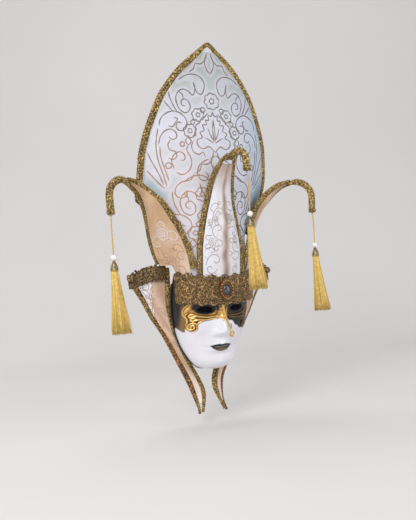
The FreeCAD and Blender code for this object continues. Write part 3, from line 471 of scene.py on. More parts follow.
def slab(bag, P, Q, keep=None, col=(1, 1, 1), colq=None, uv=None, flip=False):
    """Closed sheet between two grids of points; keep marks the cells that are there."""
    n, m, _ = P.shape
    keep = np.ones((n - 1, m - 1), bool) if keep is None else keep
    i = np.arange(n * m).reshape(n, m)
    j = i + n * m
    a, b, c, d = i[:-1, :-1], i[:-1, 1:], i[1:, 1:], i[1:, :-1]
    top = np.stack([a, b, c, d], -1)[keep]
    bot = np.stack([d, c, b, a], -1)[keep] + n * m
    K = np.pad(keep, 1)
    side = []
    for (e0, e1), nb in (((a, b), K[:-2, 1:-1]), ((b, c), K[1:-1, 2:]), ((c, d), K[2:, 1:-1]), ((d, a), K[1:-1, :-2])):
        w = keep & ~nb
        side.append(np.stack([e0[w], e0[w] + n * m, e1[w] + n * m, e1[w]], -1))
    q = np.concatenate([top, bot] + side)
    if flip:
        q = q[:, ::-1]
    V = np.concatenate([P.reshape(-1, 3), Q.reshape(-1, 3)])
    c0 = np.broadcast_to(np.asarray(col, float), (n, m, 3)).reshape(-1, 3)
    c1 = np.broadcast_to(np.asarray(col if colq is None else colq, float), (n, m, 3)).reshape(-1, 3)
    uv = np.zeros((n, m, 2)) if uv is None else uv
    used, inv = np.unique(q, return_inverse=True)
    bag.add(V[used], inv.reshape(q.shape), None, np.concatenate([c0, c1])[used], np.concatenate([uv.reshape(-1, 2)] * 2)[used])

def ball(bag, C, r, col=(1, 1, 1), squash=1.0, nrm=None, rings=4, seg=8):
    """Small beads: m low spheres at C (m, 3)."""
    C = np.asarray(C, float).reshape(-1, 3)
    m = len(C)
    r = np.broadcast_to(np.asarray(r, float), (m,))
    ph = np.linspace(0, np.pi, rings + 1)[1:-1]
    th = np.arange(seg) * 2 * np.pi / seg
    D = np.stack([np.outer(np.sin(ph), np.cos(th)), np.outer(np.sin(ph), np.sin(th)), np.outer(np.cos(ph), np.ones(seg))], -1).reshape(-1, 3)
    D = np.concatenate([D, [[0, 0, 1.0]], [[0, 0, -1.0]]])
    nv = len(D)
    V = C[:, None] + D[None] * r[:, None, None]
    R = rings - 1
    idx = np.arange(R * seg).reshape(R, seg)
    nx = np.roll(idx, -1, 1)
    q = np.stack([idx[:-1], idx[1:], nx[1:], nx[:-1]], -1).reshape(-1, 4)
    t = np.concatenate([np.stack([np.full(seg, R * seg), idx[0], nx[0]], -1), np.stack([np.full(seg, R * seg + 1), nx[-1], idx[-1]], -1)])
    o = (np.arange(m) * nv)[:, None, None]
    c = np.asarray(col, float)
    if c.ndim == 2:
        c = np.repeat(c, nv, axis=0)
    bag.add(V, (q[None] + o).reshape(-1, 4), (t[None] + o).reshape(-1, 3), c)

def jit(n, lo, hi):
    return rng.uniform(lo, hi, n)

# ---------------------------------------------------------------- the part's surfaces (mm, design frame)
SHELL_T, BOARD_T, CLOTH_T, GLUE = 2.5, 1.6, 0.5, 0.06
PZ0, PZ1 = 126.0, 569.0
MID = -(CLOTH_T + GLUE + 0.5 * BOARD_T)
BACK = -(CLOTH_T + BOARD_T + 2 * GLUE)
EYE_X, EYE_Z, EYE_W, EYE_H = 31.0, 106.0, 27.0, 10.5
PROFILE = [(12.0, 1.0), (2.0, -1.5), (-9.0, -1.5), (-18.0, 0.5), (-25.5, 5.0), (-29.5, 12.0), (-30.5, 20.0), (-31.5, 30.0),
           (-34.0, 39.0), (-36.5, 48.0), (-38.5, 58.0), (-41.0, 70.0), (-43.5, 85.0), (-46.0, 100.0), (-49.5, 112.0),
           (-52.2, 122.0), (-53.2, 135.0), (-53.1, 150.0), (-51.6, 162.0), (-49.2, 172.0)]
RIM = [(27.0, 13.5, 7.0), (30.5, 13.2, 9.0), (34.0, 13.0, 11.5), (38.0, 12.8, 15.0), (42.0, 12.5, 19.5), (46.0, 12.2, 25.0),
       (50.0, 12.0, 31.0), (54.0, 11.5, 38.0), (58.0, 11.0, 46.0), (61.5, 10.3, 54.0), (64.5, 9.6, 62.0), (67.5, 8.6, 73.0),
       (70.3, 7.2, 86.0), (72.2, 5.8, 100.0), (73.0, 4.8, 111.0), (73.3, 3.8, 121.0), (73.0, 2.6, 133.0), (71.8, 1.0, 147.0),
       (70.2, -0.8, 159.0), (68.5, -3.0, 170.0)]
prof_c = curve3([(0.0, y, z) for y, z in PROFILE])
rim_c = curve3(RIM, par=list(prof_c.par))
NOSE_H = pchip([50, 54, 57, 59.5, 62, 65, 69, 75, 82, 90, 98, 105, 112, 118], [0, 0, 2.0, 7.0, 12.5, 16.0, 16.8, 15.0, 12.2, 9.2, 6.2, 3.4, 1.0, 0])
NOSE_W = pchip([50, 60, 66, 75, 90, 105, 118], [13, 13, 10.5, 8.6, 7.6, 7.2, 7.0])

def relief(x, z):
    ax = np.abs(x)
    zc = np.clip(z, 50, 118)
    h = NOSE_H(zc) * np.exp(-(ax / NOSE_W(zc)) ** 2.2)
    h = h + 3.6 * gauss(ax - 11.5, 5.0) * gauss(z - 64.5, 5.5)
    h = h + 2.4 * gauss(z - 118.0 - 0.06 * (ax - 20), 6.5) * smooth(4, 16, ax) * (1 - smooth(44, 60, ax))
    h = h - 5.5 * gauss(ax - 30.0, 15.0) * gauss(z - 107.0, 9.5)
    h = h + 3.6 * gauss(ax - 31.0, 12.0) * gauss(z - 105.5, 8.0)
    h = h + 2.8 * gauss(ax - 41.0, 17.0) * gauss(z - 82.0, 15.0)
    h = h + 2.6 * gauss(ax, 26.0) * gauss(z - 40.0, 14.0)
    h = h + 3.0 * gauss(ax, 18.0) * gauss(z - 44.0, 3.8)
    h = h + 3.6 * gauss(ax, 15.5) * gauss(z - 34.5, 4.6)
    h = h - 2.0 * gauss(ax, 22.0) * gauss(z - 39.2, 1.9)
    h = h - 0.9 * gauss(ax, 3.2) * gauss(z - 50.5, 5.0)
    h = h - 1.8 * gauss(ax, 17.0) * gauss(z - 25.5, 4.5)
    return h + 3.6 * gauss(ax, 14.0) * gauss(z - 13.0, 9.0)

def face(s, t):
    s, t = np.broadcast_arrays(np.asarray(s, float), np.asarray(t, float))
    th = (s - 0.5) * np.pi
    r, p = rim_c(t), prof_c(t)
    c, sn = np.cos(th), np.sin(th)
    x = r[..., 0] * (sn + 0.05 * np.sin(2 * th))
    y = r[..., 1] + (p[..., 1] - r[..., 1]) * c
    z = r[..., 2] + (p[..., 2] - r[..., 2]) * c
    return np.stack([x, y - relief(x, z) * smooth(0.0, 0.12, c), z], -1)

def face_st(x, z):
    """Surface parameters of the face at a given x and z."""
    x, z = np.broadcast_arrays(np.asarray(x, float), np.asarray(z, float))
    s = 0.5 + np.clip(x / 73.0, -0.95, 0.95) * 0.4
    t = np.clip(z / 175.0 * 0.8 + 0.15, 0.05, 0.97)
    for _ in range(14):
        e = 2e-3
        p, ps, pt = face(s, t), face(s + e, t), face(s, t + e)
        a, b = (ps - p)[..., 0] / e, (pt - p)[..., 0] / e
        c, d = (ps - p)[..., 2] / e, (pt - p)[..., 2] / e
        rx, rz = x - p[..., 0], z - p[..., 2]
        det = a * d - b * c
        det = np.where(np.abs(det) < 1e-6, 1e-6, det)
        s = np.clip(s + np.clip((rx * d - b * rz) / det, -0.1, 0.1), 0.01, 0.99)
        t = np.clip(t + np.clip((a * rz - rx * c) / det, -0.1, 0.1), 0.004, 0.99)
    return s, t

HW = pchip([120, 165, 195, 217, 241, 262, 279, 289, 297, 303, 320, 342, 376, 408, 440, 475, 500, 525, 536, 548, 560, 569],
           [52, 54, 57, 62, 72, 86, 100, 111.5, 121, 126.5, 128.5, 127.8, 125.3, 118.6, 107.2, 91.5, 74.5, 52.5, 40.0, 26.3, 12.8, 3.6])
PY0 = pchip([120, 160, 200, 240, 600], [-57, -57, -60, -61, -61])
PC = pchip([120, 165, 200, 250, 275, 289, 299, 320, 342, 376, 408, 475, 600],
           [0.0048, 0.0048, 0.0051, 0.0050, 0.0046, 0.0042, 0.0038, 0.0031, 0.0026, 0.00225, 0.00195, 0.0018, 0.0018])

def panel(s, t):
    s, t = np.broadcast_arrays(np.asarray(s, float), np.asarray(t, float))
    z = lerp(PZ0, PZ1, t)
    x = (2 * s - 1) * HW(z)
    return np.stack([x, PY0(z) + PC(z) * x * x, z], -1)

def panel_st(x, z):
    return 0.5 * (x / HW(z) + 1), (z - PZ0) / (PZ1 - PZ0)

CH = [(42.6, -52.0, 8.3, 128.0), (42.8, -52.3, 8.5, 150.0), (43.0, -53.4, 9.1, 172.0), (43.0, -55.5, 10.8, 191.0), (42.4, -57.6, 11.9, 214.0),
      (36.6, -59.5, 12.0, 248.0), (30.4, -62.5, 10.5, 277.0), (26.4, -66.0, 9.0, 295.0), (23.8, -71.0, 7.5, 311.0), (20.6, -79.5, 5.5, 329.0),
      (16.8, -91.0, 4.0, 344.5), (12.2, -103.5, 2.6, 356.5), (9.4, -111.5, 1.8, 361.3)]
ch_c = curve3([(a, y, z) for a, y, b, z in CH])
ch_b = pchip(list(ch_c.par), [b for a, y, b, z in CH])
def horn_centre(s, t):
    s, t = np.broadcast_arrays(np.asarray(s, float), np.asarray(t, float))
    p = ch_c(t)
    k = 2 * s - 1
    d = ch_c(np.minimum(t + 1e-3, 1)) - ch_c(np.maximum(t - 1e-3, 0))
    d = d * np.array([0.0, 1.0, 1.0])
    d = vunit(d)
    b = ch_b(t) * (1 - k * k)
    return np.stack([k * p[..., 0], p[..., 1] - d[..., 2] * b, p[..., 2] + d[..., 1] * b], -1)

IN = [(52.6, -47.4, 128.0), (53.0, -48.2, 155.0), (54.8, -51.8, 181.0), (60.5, -52.2, 210.0), (71.8, -48.0, 245.0), (82.0, -44.5, 265.0),
      (91.0, -42.6, 282.0), (102.0, -42.6, 297.0), (117.3, -42.2, 310.0), (135.6, -44.6, 321.6), (152.0, -48.6, 327.6), (165.0, -51.0, 330.0)]
OUT = [(92.5, 5.5, 187.0), (94.5, 8.5, 196.0), (97.5, 11.0, 206.0), (102.0, 11.0, 221.0), (107.5, 7.2, 240.0), (112.6, 1.0, 260.0),
       (120.5, -9.6, 279.0), (130.2, -21.5, 294.0), (140.4, -29.5, 307.5), (152.6, -35.0, 318.0), (160.5, -39.0, 322.6), (167.5, -43.0, 325.4)]
in_c = curve3(IN, par=list(range(12)))
out_c = curve3(OUT, par=list(range(12)))
sh_b = pchip([0, 0.3, 0.6, 0.85, 1.0], [4.0, 7.5, 8.5, 4.0, 1.0])
def horn_side(s, t):
    s, t = np.broadcast_arrays(np.asarray(s, float), np.asarray(t, float))
    a, b = in_c(t), out_c(t)
    p = a + (b - a) * s[..., None]
    zb = lerp(a[..., 2], b[..., 2], smooth(0.22, 0.6, s))
    z = np.where(t < 0.2, lerp(zb, p[..., 2], smooth(0.0, 0.2, t)), p[..., 2])
    d = vunit(np.stack([b[..., 1] - a[..., 1], -(b[..., 0] - a[..., 0]), 0.0 * s], -1))
    bl = sh_b(t) * 4 * s * (1 - s)
    return np.stack([p[..., 0] + d[..., 0] * bl, p[..., 1] + d[..., 1] * bl, z], -1)

W_IN = [(73.5, 10.0, 184.0), (73.6, 9.5, 168.0), (74.2, 9.2, 148.0), (75.0, 9.0, 128.0), (74.6, 9.2, 108.0), (71.2, 10.0, 88.0), (66.0, 11.4, 71.0),
        (60.0, 13.0, 57.0), (50.5, 16.6, 38.0), (40.5, 20.5, 20.0), (30.5, 25.5, 4.0), (21.5, 27.5, -10.0), (15.5, 24.0, -25.0), (13.0, 18.6, -38.0),
        (14.2, 13.6, -48.5), (16.9, 10.4, -58.0), (20.4, 7.4, -69.0), (23.2, 5.6, -77.5)]
W_OUT = [(141.5, 18.6, 175.0), (141.0, 18.7, 166.0), (134.0, 19.4, 153.5), (126.5, 20.2, 141.0), (118.0, 21.4, 126.5), (109.5, 22.2, 110.0), (101.0, 22.6, 94.0),
         (92.0, 22.8, 80.0), (79.0, 23.2, 59.0), (66.5, 24.6, 35.5), (54.5, 27.2, 13.5), (44.0, 29.0, -6.0), (36.6, 29.0, -22.0), (32.2, 26.4, -36.0),
         (29.6, 23.0, -49.0), (27.8, 18.0, -61.5), (27.6, 11.5, -72.0), (28.6, 7.6, -80.0)]
wi_c = curve3(W_IN, par=list(range(18)))
wo_c = curve3(W_OUT, par=list(range(18)))
def wing(s, t):
    s, t = np.broadcast_arrays(np.asarray(s, float), np.asarray(t, float))
    a, b = wi_c(t), wo_c(t)
    p = a + (b - a) * s[..., None]
    bl = 3.0 * 4 * s * (1 - s) * (1 - smooth(0.75, 1.0, t))
    return p - np.array([0.0, 1.0, 0.0]) * bl[..., None]

LACE_TOP = pchip([70, 90, 106, 122, 130, 145], [186.5, 187.5, 186.5, 183.0, 178.5, 174.0])
LACE_BOT = pchip([70, 80, 104, 117, 130.5, 145], [161.0, 161.5, 162.0, 158.5, 154.0, 150.0])
def wing_lace(s, t):
    s, t = np.broadcast_arrays(np.asarray(s, float), np.asarray(t, float))
    x = lerp(77.5, 146.0, s)
    sc = 1.3 * np.sin(2 * np.pi * 8 * s)
    z = lerp(LACE_BOT(x) - 0.6 * sc, LACE_TOP(x) + sc, t)
    xc = np.clip(x, 73.5, 141.5)
    k = (xc - 73.5) / 68.0
    y = lerp(9.5, 18.8, k) - 12.0 * k * (1 - k)
    return np.stack([x, y - 2.9 - 0.6 * smooth(120, 132, x), z], -1)

BAND_T, BAND_A, BAND_B, BAND_Y = 1.9, 81.5, 54.7, -8.0
def band(s, t):
    s, t = np.broadcast_arrays(np.asarray(s, float), np.asarray(t, float))
    a = np.radians(lerp(-73.0, 73.0, s))
    x = BAND_A * np.sin(a)
    r = (x / BAND_A) ** 2
    top = 162.0 + 12.0 * r + 2.2 * np.cos(2 * np.pi * 9 * s + np.pi)
    bot = 113.5 + 8.0 * r + 1.4 * np.cos(2 * np.pi * 9 * s)
    return np.stack([x, BAND_Y - BAND_B * np.cos(a), lerp(bot, top, t)], -1)

CTIP = [(0, -117.8, 364.0), (0, -124.0, 365.8), (0, -132.0, 366.2), (0, -140.0, 364.6), (0, -147.5, 361.0), (0, -153.3, 355.0), (0, -156.0, 347.5), (0, -156.4, 340.0), (0, -156.3, 331.6)]
STIP = [(173.2, -50.8, 329.4), (179.0, -53.6, 329.3), (185.5, -56.2, 327.6), (191.8, -58.6, 324.2), (197.6, -60.6, 318.8), (201.8, -62.2, 311.6), (203.6, -62.9, 303.0), (203.4, -62.8, 292.0), (203.0, -62.6, 281.0), (203.0, -62.6, 272.6)]

def mir(P, side):
    return P * np.array([-1.0, 1.0, 1.0]) if side == "left" else P

class Surf:
    """A surface of the +X side or the middle, and its mirror image for the left side."""
    def __init__(self, F, flip, side="right"):
        self.F, self.flip, self.side = F, flip, side
    def pt(self, s, t, off=0.0):
        P = self.F(s, t) + normal(self.F, s, t, self.flip) * np.asarray(off, float)[..., None] if np.ndim(off) else self.F(s, t) + normal(self.F, s, t, self.flip) * off
        return mir(P, self.side)
    def nrm(self, s, t):
        return mir(normal(self.F, s, t, self.flip), self.side)
    def frame(self, s0, t0):
        e = 2e-3
        ds = (self.F(s0 + e, t0) - self.F(s0 - e, t0)) / (2 * e)
        dt = (self.F(s0, t0 + e) - self.F(s0, t0 - e)) / (2 * e)
        return np.linalg.norm(ds), np.linalg.norm(dt)
    def local(self, s0, t0, pts, rot=0.0, k=1.0):
        """Surface parameters of points given in millimetres round (s0, t0)."""
        pts = np.asarray(pts, float) * k
        c, sn = math.cos(rot), math.sin(rot)
        x, y = pts[..., 0] * c - pts[..., 1] * sn, pts[..., 0] * sn + pts[..., 1] * c
        a, b = self.frame(s0, t0)
        return s0 + x / a, t0 + y / b

# ---------------------------------------------------------------- ornament
def lobed(r, n, depth=0.18, rot=0.0, m=60):
    a = np.linspace(0, 2 * np.pi, m + 1)
    q = r * (1 - depth + depth * np.abs(np.sin(0.5 * n * (a + rot))) ** 0.7)
    return np.stack([q * np.cos(a), q * np.sin(a)], -1)

def spiral(cx, cz, r0, r1, a0, turns, m=50):
    q = np.linspace(0, 1, m)
    a = a0 + 2 * np.pi * turns * q
    r = lerp(r0, r1, q ** 0.85)
    return np.stack([cx + r * np.cos(a), cz + r * np.sin(a)], -1)

# one half of the damask's figure, in x and z on the panel; the other half is its mirror image
HALF = [
    [(-3, 556), (-8, 541), (-17, 533), (-27, 533), (-31, 524), (-40, 517)],
    [(-6, 548), (-9, 536), (-6, 524), (0, 516)],
    [(-60, 503), (-48, 511), (-36, 514), (-22, 511), (-13, 500), (-14, 488), (-21, 479), (-26, 481), (-31, 490), (-34, 500)],
    [(-33, 500), (-31, 488), (-36, 477), (-44, 484), (-53, 487), (-61, 483), (-66, 474), (-65, 461), (-59, 450), (-50, 446), (-43, 452), (-43, 463), (-50, 470), (-57, 467), (-56, 459), (-50, 458)],
    [(-61, 483), (-55, 478), (-53, 470)],
    [(-79, 489), (-77, 474), (-72, 460), (-65, 447)],
    [(-89, 470), (-82, 460), (-72, 448)],
    [(-97, 424), (-94, 436), (-85, 445), (-72, 449), (-60, 445), (-51, 435), (-50, 424), (-56, 416), (-65, 416), (-69, 423), (-65, 430), (-58, 428)],
    [(-82, 424), (-75, 422), (-70, 428), (-66, 436), (-72, 438)],
    [(-99, 392), (-96, 405), (-88, 415), (-78, 418), (-70, 412), (-69, 404), (-76, 400), (-82, 405)],
    [(-80, 400), (-84, 391), (-80, 382), (-73, 380), (-70, 372), (-77, 366), (-84, 369)],
    [(-92, 324), (-100, 344), (-110, 364), (-118, 384)],
    [(-87, 322), (-94, 345), (-101, 370), (-103, 396), (-99, 420)],
    [(-84, 330), (-90, 350), (-96, 372), (-97, 390)],
    [(-118, 350), (-108, 338), (-98, 326), (-90, 318)],
    [(-75, 350), (-79, 363), (-74, 375), (-65, 379), (-57, 373), (-58, 365), (-65, 364)],
    [(-72, 344), (-62, 340), (-52, 345), (-46, 356), (-47, 370), (-53, 382), (-49, 392)],
    [(-40, 398), (-44, 388), (-40, 378), (-31, 374), (-24, 378), (-20, 370)],
    [(0, 450), (-4, 441), (-9, 443), (-9, 434), (-15, 434), (-13, 426), (-21, 426), (-19, 416), (-27, 412), (-23, 404), (-33, 399), (-31, 388), (-22, 384), (-12, 388), (-5, 383), (0, 378)],
    [(0, 436), (-2, 415), (-1, 396)],
    [(-1, 398), (-7, 408), (-11, 420)],
    [(-2, 394), (-11, 400), (-19, 404)],
    [(-13, 452), (-19, 456), (-24, 453), (-21, 447), (-13, 452)],
    [(-34, 432), (-39, 434), (-43, 430), (-39, 426), (-34, 432)],
    [(-50, 404), (-54, 397), (-49, 391), (-44, 397), (-50, 404)],
    [(-10, 446), (-16, 440), (-22, 438), (-26, 430), (-33, 425), (-36, 414), (-40, 402)],
    [(0, 372), (-8, 368), (-10, 360), (-5, 352), (0, 350)],
    [(-14, 366), (-24, 362), (-34, 352), (-36, 340), (-30, 330), (-20, 330), (-17, 338), (-22, 344)],
    [(-42, 340), (-50, 330), (-62, 328), (-72, 320), (-74, 308), (-66, 300), (-56, 304), (-56, 313)],
]
ROSETTES = [(0.0, 468.0, 15.0, 8), (-28.5, 443.0, 11.5, 7), (-45.0, 415.0, 12.0, 7), (-84.0, 356.0, 5.0, 5), (-60.0, 392.0, 4.0, 5), (-30.0, 305.0, 12.0, 7)]

def damask_lines():
    out = []
    for dz in (0.0, -176.0):
        for sx in (1.0, -1.0):
            for pl in HALF:
                c = crv([(x * sx, z + dz) for x, z in pl], 1.8)
                out.append(c)
            for x, z, r, n in ROSETTES:
                if x == 0.0 and sx < 0:
                    continue
                out.append(lobed(r, n, 0.2, 0.2) + np.array([x * sx, z + dz]))
                if r > 8:
                    out.append(lobed(r * 0.32, 5, 0.2) + np.array([x * sx, z + dz]))
    return out

def cut_runs(c, ok):
    """Splits a polyline where it leaves the allowed region."""
    runs, cur = [], []
    for p, k in zip(c, ok):
        if k:
            cur.append(p)
        else:
            if len(cur) > 3:
                runs.append(np.array(cur))
            cur = []
    if len(cur) > 3:
        runs.append(np.array(cur))
    return runs

def inside(poly, x, z):
    """Even-odd test of many points against one polygon."""
    poly = np.asarray(poly, float)
    r = np.zeros(x.shape, bool)
    for (x0, z0), (x1, z1) in zip(poly, np.roll(poly, -1, 0)):
        if z0 == z1:
            continue
        k = (z0 > z) != (z1 > z)
        r ^= k & (x < (x1 - x0) * (z - z0) / (z1 - z0) + x0)
    return r

def seg_dist(lines, x, z):
    """Distance from many points to a set of polylines."""
    best = np.full(x.shape, 1e9)
    for ln in lines:
        ln = np.asarray(ln, float)
        for a, b in zip(ln[:-1], ln[1:]):
            d = b - a
            L = float(d @ d) or 1e-9
            t = np.clip(((x - a[0]) * d[0] + (z - a[1]) * d[1]) / L, 0, 1)
            best = np.minimum(best, np.hypot(x - a[0] - t * d[0], z - a[1] - t * d[1]))
    return best

def ribbons(bag, S, runs, w, h, col, off=0.0, k=6):
    """Raised threads along surface curves; runs are lists of (s, t)."""
    for r in runs:
        if len(r) < 4:
            continue
        s, t = r[:, 0], r[:, 1]
        P, N = S.pt(s, t, off), S.nrm(s, t)
        taper = 0.35 + 0.65 * np.clip(np.minimum(np.arange(len(s)), np.arange(len(s))[::-1]) / 3.0, 0, 1)
        tubes(bag, P, 0.5 * w * taper, h * taper, N, k, col)

def almond(cx, cz, w, h, side, m=48):
    a = 2 * np.pi * np.arange(m) / m
    x = 0.5 * w * np.cos(a)
    z = 0.5 * h * np.sin(a) * (np.abs(np.sin(a)) ** 0.25) * np.where(np.sin(a) > 0, 1.0, 0.85) + 0.05 * x
    return np.stack([side * (cx + x), cz + z], -1)

# ---------------------------------------------------------------- face shell
def snap(s, t, X, Z, poly, reach):
    """Moves grid points that lie close to an outline onto it."""
    P = np.vstack([poly, poly[:1]])
    best = np.full(X.shape, 1e9)
    nx, nz = X.copy(), Z.copy()
    for a, b in zip(P[:-1], P[1:]):
        d = b - a
        k = np.clip(((X - a[0]) * d[0] + (Z - a[1]) * d[1]) / float(d @ d), 0, 1)
        qx, qz = a[0] + k * d[0], a[1] + k * d[1]
        r = np.hypot(X - qx, Z - qz)
        w = r < best
        best = np.where(w, r, best)
        nx, nz = np.where(w, qx, nx), np.where(w, qz, nz)
    m = best < reach
    s2, t2 = s.copy(), t.copy()
    s2[m], t2[m] = face_st(nx[m], nz[m])
    return s2, t2

bag = Bag()
NS, NT = 201, 231
s, t = np.meshgrid(np.linspace(0.0, 1.0, NS), np.linspace(0.0, 1.0, NT))
P = face(s, t)
for sd in (1, -1):
    al = almond(EYE_X, EYE_Z, EYE_W, EYE_H, sd, 64)
    s, t = snap(s, t, P[..., 0], P[..., 2], al, 0.42)
P = face(s, t)
N = normal(face, s, t)
cx = 0.25 * (P[:-1, :-1, 0] + P[:-1, 1:, 0] + P[1:, :-1, 0] + P[1:, 1:, 0])
cz = 0.25 * (P[:-1, :-1, 2] + P[:-1, 1:, 2] + P[1:, :-1, 2] + P[1:, 1:, 2])
keep = ~(inside(almond(EYE_X, EYE_Z, EYE_W, EYE_H, 1, 64), cx, cz) | inside(almond(EYE_X, EYE_Z, EYE_W, EYE_H, -1, 64), cx, cz))
X, Z = P[..., 0], P[..., 2]
ax = np.abs(X)
zl = 39.2 + 0.9 * smooth(8, 22, ax)                      # the line between the lips
up = zl + (5.4 * np.clip(1 - (ax / 22.5) ** 2, 0, 1) ** 0.75 - 1.5 * gauss(X, 3.6))
dn = zl - 8.2 * np.clip(1 - (ax / 19.5) ** 2, 0, 1) ** 0.8
w_up = smooth(-0.3, 0.5, up - Z) * smooth(-0.4, 0.4, Z - zl) * (ax < 23)
w_dn = smooth(-0.3, 0.5, Z - dn) * smooth(-0.4, 0.4, zl - Z) * (ax < 20)
lip = np.maximum(w_up, w_dn)[..., None]
# the lower lip is olive-bronze paint; its brighter middle on the fullest part is a painted highlight
mid = (gauss(Z - 34.6, 2.4) * gauss(X, 13.0))[..., None]
lipc = np.where((w_up > w_dn)[..., None], np.array([0.008, 0.007, 0.006]), lerp(np.array([0.022, 0.018, 0.010]), np.array([0.21, 0.17, 0.07]), mid))
seam = (gauss(Z - zl, 0.7) * (ax < 21.5))[..., None]
lipc = lerp(lipc, np.array([0.008, 0.007, 0.006]), seam)
col = lerp(np.ones(3), lipc, lip)
col = np.broadcast_to(col, P.shape)
blush = (gauss(ax - 40, 18) * gauss(Z - 62, 20) + 0.6 * gauss(X, 30) * gauss(Z - 20, 12))[..., None] * 0.10
col = col * (1 - blush * np.array([0.15, 0.65, 0.35]))
wavy = 1.2 * np.sin(X * 0.5) + 0.8 * np.sin(Z * 0.45)
pr = smooth(-0.6, 0.6, X - 5.0) * smooth(-0.7, 0.7, Z + wavy - lerp(88.0, 67.0, smooth(6, 50, X))) * smooth(-0.6, 0.6, X - 4.0)
oa = np.maximum(-X - 60.0, 0.0)
# above z 117 the shell is black up to the lace band: black paint, and painted shadow under the band
pl_ = np.maximum(smooth(59.5, 61.5, -X) * smooth(-0.8, 0.8, Z - (68.0 + 0.11 * oa ** 2)), smooth(116.5, 118.0, Z))
dark_ = np.maximum(pr, pl_)[..., None]
tonal = lerp(np.array([0.006, 0.0055, 0.005]), np.array([0.026, 0.019, 0.011]), (0.5 + 0.5 * np.sin(X * 0.7 + Z * 0.3))[..., None] * pr[..., None])
tonal = lerp(tonal, np.array([0.30, 0.165, 0.05]), (smooth(69.5, 65.0, -X) * smooth(58.0, 60.0, -X) * smooth(121.0, 114.0, Z))[..., None])
col = lerp(col, tonal, dark_)
als = [almond(EYE_X, EYE_Z, EYE_W, EYE_H, q_, 64) for q_ in (1, -1)]
# black round the eye openings, on the front and the inner side: black paint, and painted shade in the eye sockets
eye_black_and_shade = smooth(3.2, 1.9, seg_dist([np.vstack([q_, q_[:1]]) for q_ in als], X, Z))[..., None]
col = lerp(col, np.array([0.008, 0.008, 0.009]), eye_black_and_shade)
inner = lerp(np.broadcast_to(np.array([0.62, 0.56, 0.48]), P.shape), np.array([0.008, 0.008, 0.009]), eye_black_and_shade)
slab(bag, P + N * 0.0, P - N * SHELL_T, keep, col, inner)
build("mask_face", bag, M["face"], "mask", ["mask_shell"])

# black gauze behind the eyes
bag = Bag()
for sd in (1, -1):
    al = almond(EYE_X, EYE_Z, EYE_W + 8, EYE_H + 8, sd, 40)
    c0 = np.array([sd * EYE_X, EYE_Z])
    q = np.linspace(0, 1, 9)[:, None, None]
    xy = c0 + (np.vstack([al, al[:1]])[None] - c0) * q
    s_, t_ = face_st(xy[..., 0], xy[..., 1])
    F_, N_ = face(s_, t_), normal(face, s_, t_)
    slab(bag, F_ - N_ * (SHELL_T + 0.12), F_ - N_ * (SHELL_T + 0.45), None, (1, 1, 1), None, xy, flip=(sd > 0) == False)
build("eye_gauze", bag, M["gauze"], "mask", ["eye_veils"])

# black edging tape round the rim
bag = Bag()
def face_edge(s_, t_, off):
    return face(s_, t_) + normal(face, s_, t_) * off
for sg in (-1, 1):
    tt = np.linspace(0.035, 0.93, 170)
    s_ = np.full_like(tt, 0.008 if sg < 0 else 0.992)
    Pp, Nn = face_edge(s_, tt, 1.35), normal(face, s_, tt)
    wob = 0.12 * np.sin(np.arange(170) * 1.1)
    tubes(bag, Pp, 2.0 + wob, 1.1, Nn, 10)
    tubes(bag, Pp + Nn * 1.0, 0.45, 0.3, Nn, 5)
ss = np.linspace(0.05, 0.95, 90)
t_ = np.full_like(ss, 0.012)
tubes(bag, face_edge(ss, t_, 1.35), 1.9 + 0.1 * np.sin(np.arange(90) * 1.1), 1.1, normal(face, ss, t_), 10)
build("rim_tape", bag, M["tape"], "mask", ["rim_binding"])

# ---------------------------------------------------------------- gilt relief
GILT = [(6, 98), (6.5, 108), (11, 117), (22, 123), (36, 124), (50, 122), (61, 117), (66.5, 108), (66, 98), (61, 90), (62, 81), (58, 72),
        (50, 68.5), (43.5, 73), (44, 80), (39, 84.5), (29, 86.5), (19, 87.5), (11, 91)]
gl = np.array(GILT + GILT[:1], float)
gout = crv(np.vstack([gl[-3:-1], gl, gl[1:3]]), 0.8)
gpar = curve3(np.c_[np.vstack([gl[-3:-1], gl, gl[1:3]]), np.zeros(len(gl) + 4)])
# the closed outline, without the overlapping ends
k0 = gpar.par[2]; k1 = gpar.par[2 + len(GILT)]
gout = gpar(np.linspace(k0, k1, 120))[:, :2]
loopA = crv([(10, 93.5), (20, 93.0), (32, 93.2), (44, 95.5), (52, 99.0), (57, 98.0), (56.5, 94.6), (52, 94.4), (47, 95.6)], 1.0)
loopB = crv([(15, 89.8), (26, 89.2), (38, 89.0), (47, 90.6), (52.5, 92.6), (55, 90.5), (53, 87.6), (48.5, 88.2), (44, 89.0)], 1.0)
loopC = crv([(8, 110), (14, 117), (26, 120.5), (40, 120.5), (52, 117.5), (60, 111)], 1.0)
curl = spiral(52.6, 77.6, 7.6, 1.2, 2.6, -1.55)
curl2 = crv([(61, 100), (62.5, 92), (58.5, 87.0), (60, 82)], 1.0)
side_l = crv([(64, 114), (65.5, 106), (64.5, 99)], 1.0)
fan = [crv([(57, 109 + 2 * i), (60.5, 107 + 1.4 * i), (63.5, 102 + 1.0 * i)], 1.0) for i in range(3)]
